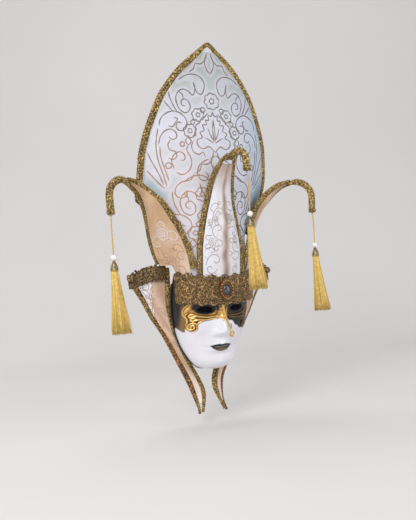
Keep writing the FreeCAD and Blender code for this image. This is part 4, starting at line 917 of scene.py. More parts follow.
for side, sd in (("left", -1), ("right", 1)):
    bag = Bag()
    xs, zs = np.arange(3.5, 69.0, 0.52), np.arange(65.5, 126.5, 0.52)
    X, Z = np.meshgrid(xs, zs)
    dO = seg_dist([np.vstack([gout, gout[:1]])], X, Z)
    ins = inside(gout, X, Z)
    sdo = np.where(ins, dO, -dO)
    al = almond(EYE_X, EYE_Z, EYE_W + 1.6, EYE_H + 1.8, 1, 64)
    dE = seg_dist([np.vstack([al, al[:1]])], X, Z)
    ine = inside(al, X, Z)
    sde = np.where(ine, -dE, dE)
    sdm = np.minimum(sdo, sde)
    h = lerp(-0.9, 1.0, smooth(-0.9, 0.7, sdm))
    ridge = 0.85 * gauss(sdo - 1.7, 1.0) + 1.0 * gauss(sde - 1.5, 1.1)
    dl = seg_dist([loopA, loopB], X, Z)
    ridge = np.maximum(ridge, 1.25 * gauss(dl, 1.05))
    ridge = np.maximum(ridge, 1.35 * gauss(seg_dist([curl], X, Z), 1.15))
    ridge = np.maximum(ridge, 1.0 * gauss(seg_dist([curl2, side_l, loopC] + fan, X, Z), 0.95))
    h = h + ridge * smooth(-0.4, 0.8, sdm)
    groove = np.clip(gauss(dl - 2.2, 0.9) + gauss(seg_dist([curl], X, Z) - 2.2, 0.9) + 0.5 * gauss(sdo - 3.6, 1.0), 0, 1)
    tone = np.clip(0.50 + 0.42 * ridge - 0.30 * groove - 0.25 * (1 - smooth(0.0, 1.4, sdm)), 0, 1)
    s_, t_ = face_st(sd * X, Z)
    F_, N_ = face(s_, t_), normal(face, s_, t_)
    dark = np.full(X.shape, 0.90 if sd > 0 else 0.0)
    dark = dark * smooth(5.0, 12.0, X) if sd > 0 else 0.35 * smooth(60, 67, X)
    # black round the eyes and from the eyes up to the lace band: black paint, and painted shadow under the band and in
    # the eye sockets
    ring_ = smooth(5.6 if sd < 0 else 6.5, 4.4, sde + 0.12 * (110.0 - Z))
    if sd < 0:
        black_and_band_shadow = smooth(108.0, 110.5, Z + 0.05 * X) * smooth(57.0, 51.0, X)
        inner_c = smooth(13.0, 10.0, X) * smooth(101.0, 105.0, Z)
        blk = np.clip(np.maximum(np.maximum(ring_, black_and_band_shadow), inner_c), 0, 1)
    else:
        blk = np.clip(np.maximum(ring_, 0.8 * smooth(108.0, 111.0, Z)), 0, 1)
    c = np.stack([tone, np.broadcast_to(dark, X.shape), blk], -1)
    keepg = (sdm[:-1, :-1] > -0.85) | (sdm[1:, 1:] > -0.85) | (sdm[:-1, 1:] > -0.85) | (sdm[1:, :-1] > -0.85)
    slab(bag, F_ + N_ * h[..., None], F_ - N_ * 1.3, keepg, c, None, None, flip=(sd < 0))
    build("gilt_mask_" + side, bag, M["gilt"], "mask", ["gilt_relief_" + side])

# gold scrolls that run down the bridge of the nose and curl on the wing of the nose
bag = Bag()
fs = Surf(face, False)
def on_face(pl, w, h, off, tone, dark, k=10):
    pl = np.asarray(pl, float)
    s_, t_ = face_st(pl[:, 0], pl[:, 1])
    n = len(pl)
    w = np.asarray(w if np.ndim(w) else np.full(n, w), float)
    ta = np.clip(np.minimum(np.arange(n), np.arange(n)[::-1]) / 4.0 + 0.25, 0, 1)
    tubes(bag, fs.pt(s_, t_, off), 0.5 * w * ta, h * ta, fs.nrm(s_, t_), k, (tone, dark, 0))
def wid(n, a, b): return np.linspace(a, b, n)
p = crv([(2, 106), (3, 99), (5.5, 92), (9.5, 84), (14, 77), (16.8, 70), (17.0, 63), (19.2, 57.0), (23.6, 55.0), (27.0, 57.8), (26.6, 62.0), (23.4, 63.4), (21.4, 61.0)], 0.9)
on_face(p, wid(len(p), 5.2, 2.6), 1.5, 0.2, 0.80, 0.05)
p = crv([(-3, 104), (-4.5, 97), (-7, 91), (-12, 88)], 0.9)
on_face(p, 3.2, 1.3, 0.2, 0.75, 0.0)
p = crv([(0, 116), (0.5, 108), (1.6, 100), (3.5, 92), (3.0, 86), (0.5, 82.5)], 0.9)
on_face(p, wid(len(p), 7.0, 2.2), 1.5, 0.2, 0.78, 0.15)
p = crv([(18.5, 66.5), (20.6, 72), (19.8, 76.5), (17.4, 78.5)], 0.9)
on_face(p, wid(len(p), 3.0, 1.6), 1.2, 0.2, 0.7, 0.25)
p = crv([(-9, 113), (-4, 110), (0, 112), (4, 110), (9, 113)], 0.9)
on_face(p, 2.6, 1.2, 0.2, 0.72, 0.35)
# plain gilding of the bridge of the nose, between the two relief halves
X, Z = np.meshgrid(np.linspace(-10.5, 10.5, 43), np.linspace(84.0, 121.0, 75))
zlow = 86.0 + 6.0 * smooth(2, 9, np.abs(X)) + 2.0 * np.sin(X * 0.9)
edge = np.minimum(Z - zlow, 120.0 - 0.5 * np.abs(X) - Z)
s_, t_ = face_st(X, Z)
hh = lerp(-0.6, 0.75, smooth(-0.8, 0.6, edge)) + 0.25 * np.sin(Z * 0.9) * smooth(0, 2, edge) * gauss(X, 7)
# the blue channel, black above z 106, is black paint with painted shadow under the lace band
c = np.stack([np.full(X.shape, 0.62) + 0.15 * np.sin(Z * 0.9), 0.95 * smooth(1.5, 4.5, X), smooth(106, 110, Z) * 1.0], -1)
slab(bag, face(s_, t_) + normal(face, s_, t_) * hh[..., None], face(s_, t_) - normal(face, s_, t_) * 1.2, None, c)
build("gilt_nose_scroll", bag, M["gilt"], "mask", ["nose_scroll"])

# ---------------------------------------------------------------- cloth sheets
def cloth(name, S, s0, s1, t0, t1, ns, nt, front, colour, mat, node, wrinkle=0.0, seed=0):
    """A glued sheet 0.5 mm thick between two offsets; colour(s, t) gives its woven colour."""
    bag = Bag()
    t_ = np.linspace(t0, t1, nt)[:, None] * np.ones((1, ns))
    k = np.linspace(0, 1, ns)[None, :]
    a = s0(t_[:, :1]) if callable(s0) else s0
    b = s1(t_[:, :1]) if callable(s1) else s1
    s_ = a + (b - a) * k
    P0 = S.pt(s_, t_, 0.0)
    Nn = S.nrm(s_, t_)
    off = front - CLOTH_T
    w = 0.0
    if wrinkle:
        r = np.random.default_rng(seed)
        l, q = t_ * 9.0, s_ * 5.0
        w = wrinkle * (np.sin(l * 1.7 + 2.2 * np.sin(q)) * np.sin(q * 1.3 + 1.0) + 0.6 * np.sin(l * 3.1 + q * 2.1)) * np.sin(np.pi * k) ** 0.5
        w = np.maximum(w, -0.04) if front >= 0 else np.minimum(w, 0.04)
    U = np.concatenate([np.zeros((nt, 1)), np.cumsum(np.linalg.norm(np.diff(P0, axis=1), axis=-1), 1)], 1)
    U = U - U[:, -1:] / 2
    Vv = np.concatenate([np.zeros((1, ns)), np.cumsum(np.linalg.norm(np.diff(P0, axis=0), axis=-1), 0)], 0)
    c = colour(s_, t_)
    Pf = P0 + Nn * (front + np.asarray(w))[..., None] if np.ndim(w) else P0 + Nn * front
    Pb = P0 + Nn * off
    slab(bag, Pf, Pb, None, c, None, np.stack([U, Vv], -1), flip=(S.flip != (S.side == "left")))
    ob = build(name, bag, mat, "mask", [node])
    return ob

def inset_fun(S, w_edge, e):
    """Parameter s of the cloth's edge, w_edge millimetres in from the surface's edge e (0 or 1)."""
    def f(t_):
        a, b = S.F(0.0 * t_, t_), S.F(0.0 * t_ + 1, t_)
        ch = np.linalg.norm(b - a, axis=-1)
        w = w_edge(t_) if callable(w_edge) else w_edge
        r = np.minimum(w / np.maximum(ch, 1e-6) * 1.1, 0.5 - 1.2 / ch)
        return r if e == 0 else 1 - r
    return f

# the panel's damask: lilac-white figure on a pale grey-green and pale blue ground, with painted shade making the right
# side darker and bluer
LINES = damask_lines()
SP = Surf(panel, False)
def in_panel(c, m=7.5):
    return (np.abs(c[:, 0]) < HW(c[:, 1]) - m) & (c[:, 1] > 132) & (c[:, 1] < 556)
FILLS = []
for dz in (0.0, -176.0):
    for sx in (1.0, -1.0):
        for i in (2, 7, 9, 18):
            FILLS.append(crv([(x * sx, z + dz) for x, z in HALF[i]], 2.5))
        for x, z, r, n in ROSETTES:
            FILLS.append(lobed(r, n, 0.2, 0.2) + np.array([x * sx, z + dz]))
def damask_colour(s_, t_):
    z = lerp(PZ0, PZ1, t_)
    x = (2 * s_ - 1) * HW(z)
    d = seg_dist([c[::3] for c in LINES if len(c) > 6], x, z)
    fill = np.zeros(x.shape, bool)
    for f in FILLS:
        fill |= inside(f, x, z)
    k = np.maximum(fill * 1.0, smooth(6.6, 5.2, d))[..., None]
    n = 0.5 + 0.5 * np.sin(x * 0.05 + 1.3 * np.sin(z * 0.021)) * np.cos(z * 0.034 - 0.8)
    side = smooth(40.0, 112.0, np.abs(x)) * np.where(x > 0, smooth(490.0, 400.0, z), smooth(352.0, 318.0, z))
    green, blue, lilac = np.array([0.36, 0.39, 0.345]), np.array([0.38, 0.60, 0.68]), np.array([0.70, 0.71, 0.80])
    up = smooth(410.0, 540.0, z)[..., None]
    # painted shade: the right side, turned from the key light, is made darker and bluer
    rt = smooth(35.0, 105.0, x)[..., None]
    ground = lerp(lerp(np.array([0.66, 0.68, 0.70]), green, up), blue, np.clip(0.15 * n + 0.95 * side, 0, 1)[..., None])
    warm = (gauss(z - 320, 80) * gauss(x + 60, 46))[..., None]
    lil = lerp(lilac, np.array([0.50, 0.50, 0.53]), 0.85 * up)
    lil = lerp(lil, np.array([0.74, 0.69, 0.72]), 0.8 * warm)
    c = lerp(lerp(ground, lil, 0.35), lil, k)
    return c * lerp(np.ones(3), np.array([0.80, 0.88, 0.94]), 0.9 * rt)
cloth("panel_damask_cloth", SP, inset_fun(SP, lambda t_: lerp(1.2, 6.0, smooth(214, 234, lerp(PZ0, PZ1, t_))), 0), inset_fun(SP, lambda t_: lerp(1.2, 6.0, smooth(214, 234, lerp(PZ0, PZ1, t_))), 1),
      0.0, 0.968, 105, 190, 0.0, damask_colour, M["damask"], "panel_damask", 0.0)

bag = Bag()
for c in LINES:
    for r in cut_runs(c, in_panel(c)):
        s_, t_ = panel_st(r[:, 0], r[:, 1])
        P, N = SP.pt(s_, t_, 0.02), SP.nrm(s_, t_)
        n = len(r)
        ta = 0.4 + 0.6 * np.clip(np.minimum(np.arange(n), np.arange(n)[::-1]) / 3.0, 0, 1)
        low = smooth(450, 330, r[:, 1]) * smooth(30, -45, r[:, 0])
        w = 1.9 + 0.3 * np.sin(np.arange(n) * 0.5)
        base = lerp(np.array([0.235, 0.20, 0.155]), np.array([0.52, 0.30, 0.185]), low[:, None])
        # painted shade: the outlines darken towards the right side
        base = lerp(base, np.array([0.13, 0.115, 0.085]), 0.75 * smooth(15, 80, r[:, 0:1]))
        base = base[None, :, :]
        tubes(bag, P, 0.5 * w * ta, 0.17 * ta, N, 6, base)
build("panel_damask_outlines", bag, M["outline"], "mask")

def lining_colour(a, b):
    def f(s_, t_):
        n = 0.5 + 0.5 * np.sin(s_ * 7 + 3 * np.sin(t_ * 5))
        return lerp(np.array(a), np.array(b), n[..., None])
    return f
lin = lining_colour((0.42, 0.34, 0.25), (0.50, 0.41, 0.31))
cloth("panel_lining_cloth", SP, inset_fun(SP, lambda t_: lerp(1.2, 6.0, smooth(214, 234, lerp(PZ0, PZ1, t_))), 0), inset_fun(SP, lambda t_: lerp(1.2, 6.0, smooth(214, 234, lerp(PZ0, PZ1, t_))), 1),
      0.0, 0.968, 61, 120, BACK - GLUE * 0, lin, M["lining"], "panel_lining", 0.0)

# ---------------------------------------------------------------- braids
def braid(bag, P, N, A, B, period=22.0, n=4, wid_=1.75, thk=0.80, amp=0.32, core=True, core_col=(0.16, 0.15, 0.13), seed=0, tint=None):
    """Round gimp braid over a core: strands wind both ways and pass over and under each other."""
    r = np.random.default_rng(seed)
    T = vunit(np.gradient(P, axis=0))
    U = vunit(np.cross(T, N))
    N2 = np.cross(U, T)
    l = np.concatenate([[0], np.cumsum(np.linalg.norm(np.diff(P, axis=0), axis=1))])
    A, B = np.broadcast_to(A, l.shape), np.broadcast_to(B, l.shape)
    for sg in (1, -1):
        paths, refs, cols = [], [], []
        for i in range(n):
            th = sg * 2 * np.pi * l / period + 2 * np.pi * i / n
            mod = sg * amp * np.cos(n * 2 * np.pi * l / period)
            a, b = A - 0.6 * thk + mod, B - 0.6 * thk + mod
            ct, st_ = np.cos(th)[:, None], np.sin(th)[:, None]
            paths.append(P + a[:, None] * ct * U + b[:, None] * st_ * N2)
            refs.append(vunit(ct / a[:, None] * U + st_ / b[:, None] * N2))
            g = r.uniform(0.8, 1.25)
            glint = 1.0 + 0.35 * np.sin(l * 2 * np.pi / 2.9 + r.uniform(0, 6))
            cols.append((np.array([1.0, 0.97, 0.9]) * g)[None] * glint[:, None] * (1.0 if tint is None else tint))
        tubes(bag, np.array(paths), wid_, thk, np.array(refs), 6, np.array(cols))
    if core:
        tubes(bag, P[::2], np.maximum(A[::2] - 1.25, 0.8), np.maximum(B[::2] - 1.15, 0.7), N2[::2], 12, core_col)

def edge_line(S, e, t0, t1, step=0.85, off=MID):
    t_ = np.linspace(t0, t1, 400)
    P = S.pt(np.full(400, float(e)), t_, off)
    l = np.concatenate([[0], np.cumsum(np.linalg.norm(np.diff(P, axis=0), axis=1))])
    n = int(l[-1] / step)
    tq = np.interp(np.linspace(0, l[-1], n), l, t_)
    return S.pt(np.full(n, float(e)), tq, off), S.nrm(np.full(n, float(e)), tq), tq

bag = Bag()
gb = Bag()
def glints(gb, P, N, A, B, pitch, r_, both=True, seed=1):
    """Small bright seed beads worked into the braid."""
    q = np.random.default_rng(seed)
    l = np.concatenate([[0], np.cumsum(np.linalg.norm(np.diff(P, axis=0), axis=1))])
    at = np.arange(pitch * 0.5, l[-1], pitch) + 0.0
    i = np.clip(np.searchsorted(l, at), 1, len(l) - 2)
    T = vunit(np.gradient(P, axis=0))[i]
    U = vunit(np.cross(T, N[i]))
    A_ = np.broadcast_to(A, l.shape)[i]
    B_2 = np.broadcast_to(B, l.shape)[i]
    for k, th in enumerate((0.9, 1.57, 2.24, -1.57)):
        a = th + q.uniform(-0.2, 0.2, len(i))
        C = P[i] + (A_ * np.cos(a))[:, None] * U + ((B_2 + 0.25) * np.sin(a))[:, None] * N[i]
        sel = (np.arange(len(i)) + k) % 2 == 0
        ball(gb, C[sel], q.uniform(0.8, 1.2, sel.sum()) * r_, (1, 1, 1), rings=4, seg=6)

for e in (0.0, 1.0):
    P, N, tq = edge_line(SP, e, (237.0 - PZ0) / (PZ1 - PZ0), 0.992)
    A = 5.6 * (1 - 0.42 * smooth(0.93, 1.0, tq))
    q = np.linspace(0, 1, 13)[1:, None]
    apex = np.array([0.0, P[-1, 1] - 0.4 * e, P[-1, 2] + 4.2])
    P = np.concatenate([P, P[-1] + (apex - P[-1]) * q])
    N = np.concatenate([N, np.repeat(N[-1:], 12, 0)])
    A = np.concatenate([A, np.full(12, A[-1])])
    braid(bag, P, N, A, 3.0, seed=int(3 + e))
    glints(gb, P, N, A, 3.0, 3.3, 0.50, seed=int(7 + e))
build("panel_braid_gimp", bag, M["braid"], "mask", ["panel_braid"])
build("panel_braid_beads", gb, M["gold_bead"], "mask")

# ---------------------------------------------------------------- horns
PINK, ROSE, TAN, TAND = np.array([0.86, 0.76, 0.74]), np.array([0.56, 0.33, 0.26]), np.array([0.58, 0.36, 0.19]), np.array([0.42, 0.25, 0.14])
def flower(k=1.0):
    """Rose with a paisley stem, as outlines."""
    out = [lobed(9 * k, 6, 0.2), lobed(5 * k, 5, 0.25, 0.4), spiral(0, 0, 2.6 * k, 0.4, 0.0, 1.2, 24)]
    out.append(crv([(8 * k, -4 * k), (15 * k, -9 * k), (17 * k, -17 * k), (11 * k, -22 * k), (4 * k, -18 * k), (8 * k, -13 * k)], 1.0))
    out.append(crv([(-8 * k, 3 * k), (-15 * k, 6 * k), (-20 * k, 1 * k), (-16 * k, -5 * k), (-9 * k, -3 * k)], 1.0))
    out.append(crv([(2 * k, 9 * k), (6 * k, 16 * k), (1 * k, 21 * k), (-5 * k, 17 * k), (-3 * k, 10 * k)], 1.0))
    return out
def sprig(k=1.0):
    return [crv([(-10 * k, -12 * k), (-6 * k, -4 * k), (2 * k, 1 * k), (9 * k, -2 * k), (11 * k, -9 * k), (5 * k, -12 * k), (2 * k, -7 * k)], 1.0),
            crv([(-6 * k, -4 * k), (-9 * k, 4 * k), (-4 * k, 11 * k), (4 * k, 10 * k), (5 * k, 4 * k), (0, 5 * k)], 1.0),
            lobed(3.2 * k, 5, 0.25) + np.array([9 * k, 8 * k])]
def stamp(bag, S, s0, t0, lines, rot, w, h, colr, lo=0.1, hi=0.9, fill=None):
    for ln in lines:
        s_, t_ = S.local(s0, t0, resample(ln, 1.2), rot)
        ok = (s_ > lo) & (s_ < hi) & (t_ > 0.0) & (t_ < 0.9)
        for r in cut_runs(np.stack([s_, t_], -1), ok):
            ribbons(bag, S, [r], w, h, colr, 0.02)

HA = lambda t_: 4.5 * (1 - 0.4 * smooth(0.8, 1.0, t_))
h_in = lambda t_: HA(t_) + 0.5

def horn(name, S, t_end, tb0, tb1, tip, colour, stamps, node_side, lead, wide):
    cloth(name + "_brocade_cloth", S, inset_fun(S, h_in, 0), inset_fun(S, h_in, 1), 0.0, t_end, 49, 110, 0.0, colour, M["brocade"], name + "_brocade",
          0.10)
    cloth(name + "_lining_cloth", S, inset_fun(S, h_in, 0), inset_fun(S, h_in, 1), 0.0, t_end, 31, 70, BACK, lining_colour((0.30, 0.20, 0.13), (0.38, 0.27, 0.18)), M["lining"], name + "_lining",
          0.0)
    ob_ = Bag()
    for s0, t0, lines, rot, w, colr in stamps:
        stamp(ob_, S, s0, t0, lines, rot, w, 0.17, colr)
    if ob_.n:
        build(name + "_outlines", ob_, M["outline"], "mask")
    bg, g2 = Bag(), Bag()
    for e, tb in ((0.0, tb0), (1.0, tb1)):
        P, N, tq = edge_line(S, e, tb, 1.0)
        A, B = HA(tq), 2.7 * (1 - 0.12 * smooth(0.8, 1.0, tq))
        braid(bg, P, N, A, B, 19.0, 4, 1.5, 0.75, 0.28, seed=int(5 + e))
        glints(g2, P, N, A, B, 3.4, 0.46, seed=int(9 + e))
    build(name + "_braid_gimp", bg, M["braid"], "mask", [name + "_braid"])
    build(name + "_braid_beads", g2, M["gold_bead"], "mask")
    # curled tip: braid wound on the wire, bound off with three turns of cord
    bt = Bag()
    tc = mir(resample(curve3(tip)(np.linspace(0, 1, 160)), 0.85), node_side)
    ref = np.array([0.25, 0.1, 0.95]) if node_side != "centre" else np.array([1.0, 0.05, 0.1])
    back = mir(np.array(lead, float), node_side)
    tc = np.concatenate([resample(np.vstack([back, tc[:1]]), 0.85)[:-1], tc])
    for _ in range(6):
        tc[1:-1] = 0.25 * tc[:-2] + 0.5 * tc[1:-1] + 0.25 * tc[2:]
    T = vunit(np.gradient(tc, axis=0))
    sidev = np.array([0.0, 1.0, 0.0]) if node_side != "centre" else np.array([1.0, 0.0, 0.0])
    N = vunit(sidev - T * (T @ sidev)[:, None])
    ll = np.arange(len(tc)) * 0.85
    flat = lerp(3.0, 5.8, smooth(2, 22, ll))
    broad = lerp(wide, 5.8, smooth(1, 20, ll))
    braid(bt, tc, N, flat, broad, 20.0, 5, 2.0, 0.85, 0.35, core_col=(0.15, 0.14, 0.12), seed=4)
    e0 = tc[-1]
    for i, (dz, rr, rt, cc) in enumerate(((5.6, 5.4, 1.25, 0.9), (3.2, 5.6, 1.35, 1.3), (0.9, 5.6, 1.35, 0.8), (-0.7, 4.2, 1.2, 1.1))):
        an = np.linspace(0, 2 * np.pi, 41)
        ringp = e0 + np.stack([rr * np.cos(an), rr * np.sin(an), np.full(41, dz - 0.3)], -1)
        tubes(bt, ringp, rt * (1 + 0.10 * np.sin(an * 14)), None, (0, 0, 1), 8, (cc, cc, cc * 0.9))
    # closed end, a shallow dome of wound thread
    a_, r_ = np.meshgrid(np.linspace(0, 2 * np.pi, 25), np.linspace(0.0, 4.6, 7))
    D = e0 + np.stack([r_ * np.cos(a_), r_ * np.sin(a_), -1.5 + 0.10 * (r_ / 4.6) ** 2], -1)
    slab(bt, D, D + np.array([0, 0, 1.0]), None, (0.6, 0.6, 0.55), flip=True)
    build(name + "_tip_wrap", bt, M["braid"], "mask", [name + "_tip"])

def side_colour(S):
    def f(s_, t_):
        n = 0.5 + 0.5 * np.sin(s_ * 6 + 4.0 * t_ + 2 * np.sin(t_ * 9)) * np.cos(t_ * 7 - s_ * 3)
        c = lerp(TAN, np.array([0.74, 0.50, 0.30]), n[..., None])
        c = lerp(c, TAND, (0.75 * smooth(0.62, 0.98, t_))[..., None])
        pk = (smooth(0.42, 0.06, t_) * smooth(0.75, 0.1, s_))[..., None]
        c = lerp(c, np.array([0.84, 0.66, 0.55]), 0.85 * pk)
        ro = gauss((s_ - 0.5) * 62, 13) * gauss((t_ - 0.36) * 210, 13)
        return lerp(c, PINK, (0.55 * ro)[..., None])
    return f
def centre_colour(s_, t_):
    k = 2 * s_ - 1
    wob = 0.03 * np.sin(t_ * 40) + 0.05 * np.sin(t_ * 13 + 1)
    # the brown stripe down the middle ridge is painted shade and painted reflection on the folded satin
    ridge_shade_stripe = gauss(k - 0.12 - wob, 0.17) * lerp(0.95, 0.85, t_)
    st2 = 0.5 * gauss(k + 0.30, 0.06) * smooth(0.1, 0.5, t_) + 0.55 * gauss(k - 0.52, 0.10) * smooth(0.5, 0.1, t_)
    w = lerp(np.array([0.84, 0.84, 0.92]), np.array([0.91, 0.89, 0.93]), (0.5 + 0.5 * np.sin(k * 5 + 1))[..., None])
    brown = lerp(np.array([0.42, 0.26, 0.19]), np.array([0.27, 0.155, 0.10]), (0.5 + 0.5 * np.sin(t_ * 50))[..., None])
    c = lerp(w, brown, np.clip(ridge_shade_stripe, 0, 1)[..., None])
    c = lerp(c, np.array([0.70, 0.60, 0.50]), np.clip(st2, 0, 1)[..., None])
    top = smooth(0.68, 0.95, t_)[..., None]
    return lerp(c, np.array([0.46, 0.30, 0.21]), 0.8 * top)

LEAD_S = [(162.5, -45.0, 325.4), (168.0, -47.8, 328.2)]
LEAD_C = [(0, -106.5, 358.2), (0, -112.0, 361.6)]
C_LINE, W_LINE, B_LINE = (0.50, 0.31, 0.22), (0.90, 0.84, 0.82), (0.42, 0.33, 0.27)
side_stamps = [(0.50, 0.36, flower(1.25), 0.3, 1.5, W_LINE), (0.50, 0.36, flower(1.42), 0.3, 0.8, C_LINE),
               (0.30, 0.12, sprig(1.3), 0.5, 1.2, C_LINE), (0.72, 0.17, sprig(1.1), 2.2, 1.1, C_LINE), (0.22, 0.26, sprig(1.1), -0.6, 1.1, C_LINE),
               (0.45, 0.20, flower(0.7), 1.4, 1.1, C_LINE), (0.55, 0.55, sprig(0.9), 1.2, 1.0, (0.62, 0.42, 0.30)), (0.20, 0.05, flower(0.8), 0.4, 1.1, C_LINE)]
horn("horn_right", Surf(horn_side, False, "right"), 0.955, 0.175, 0.045, STIP, side_colour(None), side_stamps, "right", LEAD_S, 8.2)
horn("horn_left", Surf(horn_side, False, "left"), 0.955, 0.175, 0.045, STIP, side_colour(None), side_stamps, "left", LEAD_S, 8.2)
cstamps = []
for s0, t0, k_, rot in ((0.22, 0.28, 1.25, 0.2), (0.80, 0.30, 1.2, 2.6), (0.24, 0.45, 1.15, 1.2), (0.80, 0.47, 1.1, -0.6), (0.30, 0.60, 0.95, 0.4), (0.70, 0.60, 0.95, 2.2), (0.24, 0.16, 0.9, 2.9), (0.82, 0.17, 0.8, 0.9)):
    cstamps.append((s0, t0, sprig(k_), rot, 1.15, B_LINE))
for s0, t0, k_, rot in ((0.24, 0.37, 0.75, 0.8), (0.80, 0.38, 0.7, 0.1), (0.28, 0.53, 0.6, 2.0), (0.74, 0.54, 0.6, 1.0)):
    cstamps.append((s0, t0, flower(k_), rot, 1.1, B_LINE))
horn("horn_centre", Surf(horn_centre, False), 0.93, 0.155, 0.155, CTIP, centre_colour, cstamps, "centre", LEAD_C, 12.0)

# ---------------------------------------------------------------- wings
WA = lambda t_: 4.8 * (1 - 0.52 * smooth(0.72, 0.98, t_))
def wing_colour(s_, t_):
    bd = np.interp(t_, [0.0, 0.10, 0.38, 0.5, 1.0], [0.44, 0.48, 0.90, 1.05, 1.1]) + 0.02 * np.sin(t_ * 60)
    k = smooth(-0.035, 0.035, s_ - bd)[..., None]
    n = (0.5 + 0.5 * np.sin(s_ * 9 + t_ * 21))[..., None]
    tan = lerp(np.array([0.68, 0.44, 0.29]), np.array([0.84, 0.60, 0.46]), n)
    pale = smooth(0.55, 0.9, t_)[..., None]
    tan = lerp(tan, np.array([0.86, 0.74, 0.68]), pale)
    wht = lerp(np.array([0.93, 0.90, 0.96]), np.array([0.97, 0.94, 0.97]), n)
    return lerp(tan, wht, k)
for side in ("right", "left"):
    S = Surf(wing, True, side)
    name = "wing_" + side
    w_in = lambda t_: WA(t_) + 0.9
    cloth(name + "_brocade_cloth", S, inset_fun(S, w_in, 0), inset_fun(S, w_in, 1), 0.0, 0.90, 41, 130, 0.0, wing_colour, M["brocade"], name + "_brocade", 0.10)
    cloth(name + "_lining_cloth", S, inset_fun(S, w_in, 0), inset_fun(S, w_in, 1), 0.0, 0.90, 25, 80, BACK, lin, M["lining"], name + "_lining", 0.0)
    ob_ = Bag()
    for s0, t0, k_, rot in ((0.74, 0.10, 0.95, 0.3), (0.82, 0.17, 0.85, 1.6), (0.70, 0.20, 0.7, 2.6), (0.88, 0.25, 0.7, 0.6), (0.62, 0.06, 0.7, -0.8), (0.80, 0.05, 0.7, 1.1)):
        stamp(ob_, S, s0, t0, sprig(k_), rot, 1.1, 0.17, (0.52, 0.40, 0.36))
    tt = np.linspace(0.06, 0.42, 90)
    bd = np.interp(tt, [0.0, 0.10, 0.38, 0.5, 1.0], [0.44, 0.48, 0.90, 1.05, 1.1])
    for dv, am in ((-0.02, 0.02), (0.03, 0.025)):
        sv = bd + dv + am * np.sin(tt * 90 + dv * 50)
        ok = (sv > 0.1) & (sv < 0.9)
        for r in cut_runs(np.stack([sv, tt], -1), ok):
            ribbons(ob_, S, [r], 1.1, 0.17, (0.60, 0.38, 0.30), 0.02)
    for s0, t0, k_, rot in ((0.36, 0.14, 0.8, 0.5), (0.40, 0.26, 0.75, 1.9), (0.55, 0.35, 0.6, 0.2), (0.50, 0.47, 0.5, 1.3), (0.30, 0.38, 0.5, 2.4)):
        stamp(ob_, S, s0, t0, sprig(k_), rot, 1.0, 0.17, (0.62, 0.43, 0.34))
    build(name + "_outlines", ob_, M["outline"], "mask")
    bg, g2 = Bag(), Bag()
    for e in (0.0, 1.0):
        P, N, tq = edge_line(S, e, 0.003, 0.997)
        A, B = WA(tq), 2.7 * (1 - 0.3 * smooth(0.75, 1.0, tq))
        red = (e * smooth(0.30, 0.45, tq) * smooth(0.90, 0.78, tq))[:, None]
        braid(bg, P, N, A, B, 19.0, 4, 1.5, 0.75, 0.28, seed=int(15 + e), tint=lerp(np.ones(3), np.array([0.95, 0.66, 0.62]), red))
        glints(g2, P, N, A, B, 3.2, 0.55 if e else 0.45, seed=int(19 + e))
    build(name + "_braid_gimp", bg, M["braid"], "mask", [name + "_braid"])
    build(name + "_braid_beads", g2, M["gold_bead"], "mask")

